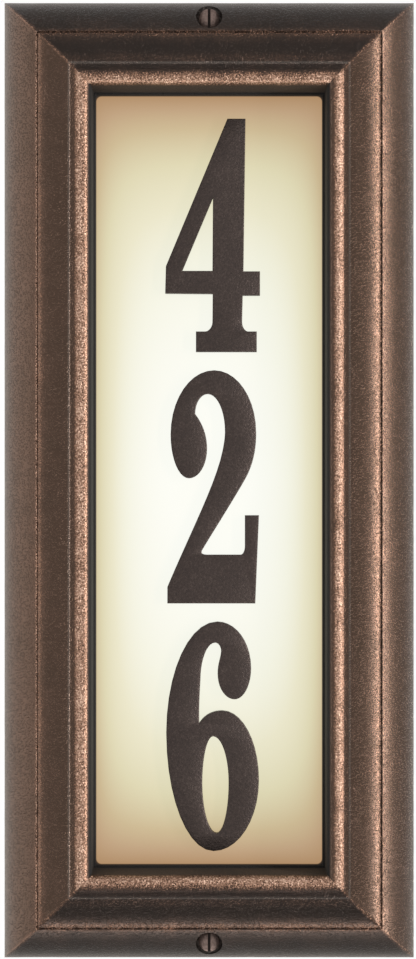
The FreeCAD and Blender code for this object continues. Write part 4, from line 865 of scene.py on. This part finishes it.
class HOUSESIGN_OT_clips(bpy.types.Operator):
    """Makes the lens clips and their screws, set round the casting"""
    bl_idname = "house_sign.clips"
    bl_label = "Lens clips"

    def execute(self, context):
        # a flat blade: a round heel behind the screw, a toe with two small corners over the lens, and a hole
        toe = CLIP_CORNER - (HALF_W / MM - CLIP_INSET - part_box("lens")[1].x / MM + CLIP_GRIP)
        shoulder = CLIP_HEEL - CLIP_CORNER
        outer = []
        for x, z, radius, start, sweep, steps in ((0, 0, CLIP_HEEL, -90, 180, 8),
                                                  (toe, shoulder, CLIP_CORNER, 90, 90, 4),
                                                  (toe, -shoulder, CLIP_CORNER, 180, 90, 4)):
            for k in range(steps + 1):
                angle = math.radians(start + sweep * k / steps)
                outer.append((x + radius * math.cos(angle), z + radius * math.sin(angle)))
        blade, spots = bmesh.new(), clip_spots()
        edges = (outer, circle(CLIP_SCREW, 24))
        layers = [[[blade.verts.new((x * MM, -height * MM, z * MM)) for x, z in ring] for ring in edges]
                  for height in (LENS_BACK - CLIP_GAUGE, LENS_BACK)]
        for rings in zip(*layers):
            walled(blade, rings)
        for rings in layers:
            capped(blade, rings)
        repeated("turn_clips", blade, spots, "front", "spring_steel", "lens_clips")
        screw = pan_head(2.8, 2.0, LENS_BACK - CLIP_GAUGE, CLIP_SCREW, LENS_BACK + CLIP_SCREW_LENGTH)
        repeated("clip_pan_heads", screw, spots, "front", "zinc_steel", "clip_screws")
        return {"FINISHED"}


class HOUSESIGN_OT_back(bpy.types.Operator):
    """Finishes the wall pan, its seal and the reflector, and makes the small heads that hold them"""
    bl_idname = "house_sign.back"
    bl_label = "Back and reflector"

    def execute(self, context):
        refinish("back_pan", "wall_seal", "reflector_tray", "wire_grommet")
        rivet = turned(bmesh.new(), [(0, 0.02), (1.6, 0.02), (1.6, 2.3), (3, 2.3), (3, 2.6), (2.7, 3.0),
                                     (2.0, 3.2), (1.2, 3.3), (0.9, 3.3), (0.8, 2.7), (0, 2.6)])
        spots = [(x * MM, z * MM, 0) for x in (RIVET_X, -RIVET_X) for z in (RIVET_Z, -RIVET_Z)]
        repeated("reflector_rivets", rivet, spots, "housing", "zinc_steel", "tray_rivets")
        spots = [(x * MM, 0, 0) for x in (HOLDER_SCREW_X, -HOLDER_SCREW_X)]
        repeated("holder_pan_heads", pan_head(2.7, 1.8, 4.8, 1.45, 0.02), spots, "housing", "zinc_steel",
                 "holder_screws")
        return {"FINISHED"}


def tube(builder, path, radii, segments=6):
    """Adds a closed tube along a path that never runs square to the wall, with a radius at each point."""
    rings = []
    for k, point in enumerate(path):
        way = (path[min(k + 1, len(path) - 1)] - path[max(k - 1, 0)]).normalized()
        across = way.cross(Vector((0, 1, 0))).normalized()
        up = across.cross(way)
        rings.append([builder.verts.new(point + across * x + up * y) for x, y in circle(radii[k], segments)])
    walled(builder, rings)
    builder.faces.new(rings[0])
    builder.faces.new(rings[-1])


class HOUSESIGN_OT_lamps(bpy.types.Operator):
    """Finishes the lamp holder, lamps, terminal block and leads, and winds the filaments"""
    bl_idname = "house_sign.lamps"
    bl_label = "Lamps and wiring"

    def execute(self, context):
        refinish("lamp_holder", "lamp_contacts", "upper_lamp_glass", "lower_lamp_glass", "terminal_block",
                 "terminal_screws", "lead_black", "lead_white")
        steps = COIL_TURNS * COIL_STEPS
        turn = circle(COIL_RADIUS * MM, COIL_STEPS)
        for name, sign in (("upper_lamp", 1), ("lower_lamp", -1)):
            low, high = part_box(f"{name}_filament")
            axis = (low.y + high.y) / 2
            foot, tip = (low.z, high.z) if sign > 0 else (high.z, low.z)
            shoulder = tip - sign * COIL_POST_DROP * MM
            left, right = [[Vector((x * MM, axis, z)) for z in (foot, shoulder)]
                           for x in (-COIL_POST_X, COIL_POST_X)]
            coil = [Vector((COIL_SPAN * MM * (k / steps - 0.5), axis + turn[k % COIL_STEPS][0],
                            tip - sign * COIL_DROP * MM + turn[k % COIL_STEPS][1])) for k in range(steps + 1)]
            posts = [COIL_POST_RADIUS * MM] * 2
            builder = bmesh.new()
            tube(builder, left + coil + right[::-1], posts + [COIL_WIRE * MM] * len(coil) + posts)
            finished(f"{name}_coil", builder, name, finish_of("tungsten"), "tungsten", f"{name}_filament",
                     HARD_EDGE)
        return {"FINISHED"}


class HOUSESIGN_OT_finishes(bpy.types.Operator):
    """Makes the plain finishes of the small and inner parts"""
    bl_idname = "house_sign.finishes"
    bl_label = "Finishes"

    def execute(self, context):
        context.scene["house_sign_finishes"] = {slot: made.name for slot, made in plain_finishes().items()}
        return {"FINISHED"}


# Camera and light ----------------------------------------------------------------------------------------

CAMERA_DISTANCE = 0.9       # to the frame's silhouette edge
SILHOUETTE = 0.0285         # that edge's height off the wall
PIXEL = 0.0004348           # metres to a pixel there
FRAME_PIXELS = 959          # the photograph's long side
AIM_X, AIM_Z = -0.0005, 0.0003      # the photograph's centre on the frame
LAMP_DISTANCE = 1.6
FLOOR = -1.7                # a wall sign hangs about this far above the ground
FLOOR_RAISE = 0.45          # makes up for the low room light, as far as the eye is concerned


def seen_ray(tree):
    """1 for the rays that look: the camera's, and those that metal mirrors and glass lets through."""
    ray = add(tree, "ShaderNodeLightPath").node.outputs
    mirrored = add(tree, MATH, (ray["Is Glossy Ray"], ray["Is Transmission Ray"]), operation="MAXIMUM")
    return add(tree, MATH, (ray["Is Camera Ray"], mirrored), operation="MAXIMUM")


def painted_board():
    """Pale painted board for the floor, raised to its colour for the rays that look. It lights nothing."""
    board = surface("painted board", "#f1f1ef", "#e9e9e6", 3.0, 0.0, (0.7, 0.85), 0.02,
                    Emission_Color=colour("#f1f1ef"))
    tree = board.node_tree
    feed(tree.nodes["Principled BSDF"], {
        "Emission Strength": add(tree, MATH, (seen_ray(tree), FLOOR_RAISE), operation="MULTIPLY")})
    return board


class HOUSESIGN_OT_stage(bpy.types.Operator):
    """Sets up the camera, the lamps, the room and a pale floor"""
    bl_idname = "house_sign.stage"
    bl_label = "Stage"

    def execute(self, context):
        scene = context.scene
        settings = scene.house_sign
        lens = bpy.data.cameras.new("camera")
        lens.sensor_width = 36
        lens.lens = lens.sensor_width * CAMERA_DISTANCE / (PIXEL * FRAME_PIXELS)
        scene.camera = placed("camera", lens)
        scene.camera.location = (AIM_X, -(CAMERA_DISTANCE + SILHOUETTE), AIM_Z)
        scene.camera.rotation_euler = (math.pi / 2, 0, 0)

        # each lamp: its power, its angle off the view axis, which way round it from the right, and its size
        for name, power, off, way_round, size in (("key", settings.key, 57.5, 0, (0.2, 1.6)),
                                                  ("fill", settings.fill, 82, 180, (1.1, 1.7)),
                                                  ("low", settings.low, 69, 270, (1.3, 0.2))):
            light = bpy.data.lights.new(name, "AREA")
            light.shape, light.energy = "RECTANGLE", power
            light.size, light.size_y = size
            off, way_round = math.radians(off), math.radians(way_round)
            way = Vector((math.sin(off) * math.cos(way_round), -math.cos(off),
                          math.sin(off) * math.sin(way_round)))
            lamp = placed(name, light)
            lamp.location = way * LAMP_DISTANCE
            lamp.rotation_euler = way.to_track_quat("Z", "Y").to_euler()

        floor = bmesh.new()
        bmesh.ops.create_circle(floor, cap_ends=True, radius=2.5, segments=96)
        for vert in floor.verts:
            vert.co.z = FLOOR
        ground = solid_object("floor", floor)
        ground.data.materials.append(painted_board())

        world = bpy.data.worlds.new("room")
        world.use_nodes = True
        tree = world.node_tree
        tree.nodes.clear()
        level = add(tree, MATH, (seen_ray(tree), 1 - settings.room, settings.room), operation="MULTIPLY_ADD")
        back = add(tree, "ShaderNodeBackground", {"Color": (1, 1, 1, 1), "Strength": level})
        add(tree, "ShaderNodeOutputWorld", [back])
        scene.world = world

        scene.view_settings.view_transform = "Standard"
        return {"FINISHED"}


class HOUSESIGN_PT_pieces(bpy.types.Panel):
    """Lists the sign's pieces and settings"""
    bl_idname = "HOUSESIGN_PT_pieces"
    bl_label = "House number sign"
    bl_space_type = "VIEW_3D"
    bl_region_type = "UI"
    bl_category = "House sign"

    def draw(self, context):
        settings = context.scene.house_sign
        for name in settings.__annotations__:
            self.layout.prop(settings, name)
        for operator in OPERATORS:
            self.layout.operator(operator.bl_idname)


OPERATORS = (HOUSESIGN_OT_finishes, HOUSESIGN_OT_moulding, HOUSESIGN_OT_numerals, HOUSESIGN_OT_panel,
             HOUSESIGN_OT_screws, HOUSESIGN_OT_clips, HOUSESIGN_OT_back, HOUSESIGN_OT_lamps,
             HOUSESIGN_OT_stage)
CLASSES = (HouseSignSettings, *OPERATORS, HOUSESIGN_PT_pieces)


def register():
    for made in CLASSES:
        bpy.utils.register_class(made)
    bpy.types.Scene.house_sign = PointerProperty(type=HouseSignSettings)


def unregister():
    del bpy.types.Scene.house_sign
    for made in reversed(CLASSES):
        bpy.utils.unregister_class(made)


def main():
    register()
    for operator in OPERATORS:
        group, name = operator.bl_idname.split(".")
        getattr(getattr(bpy.ops, group), name)()


if __name__ == "__main__":
    main()
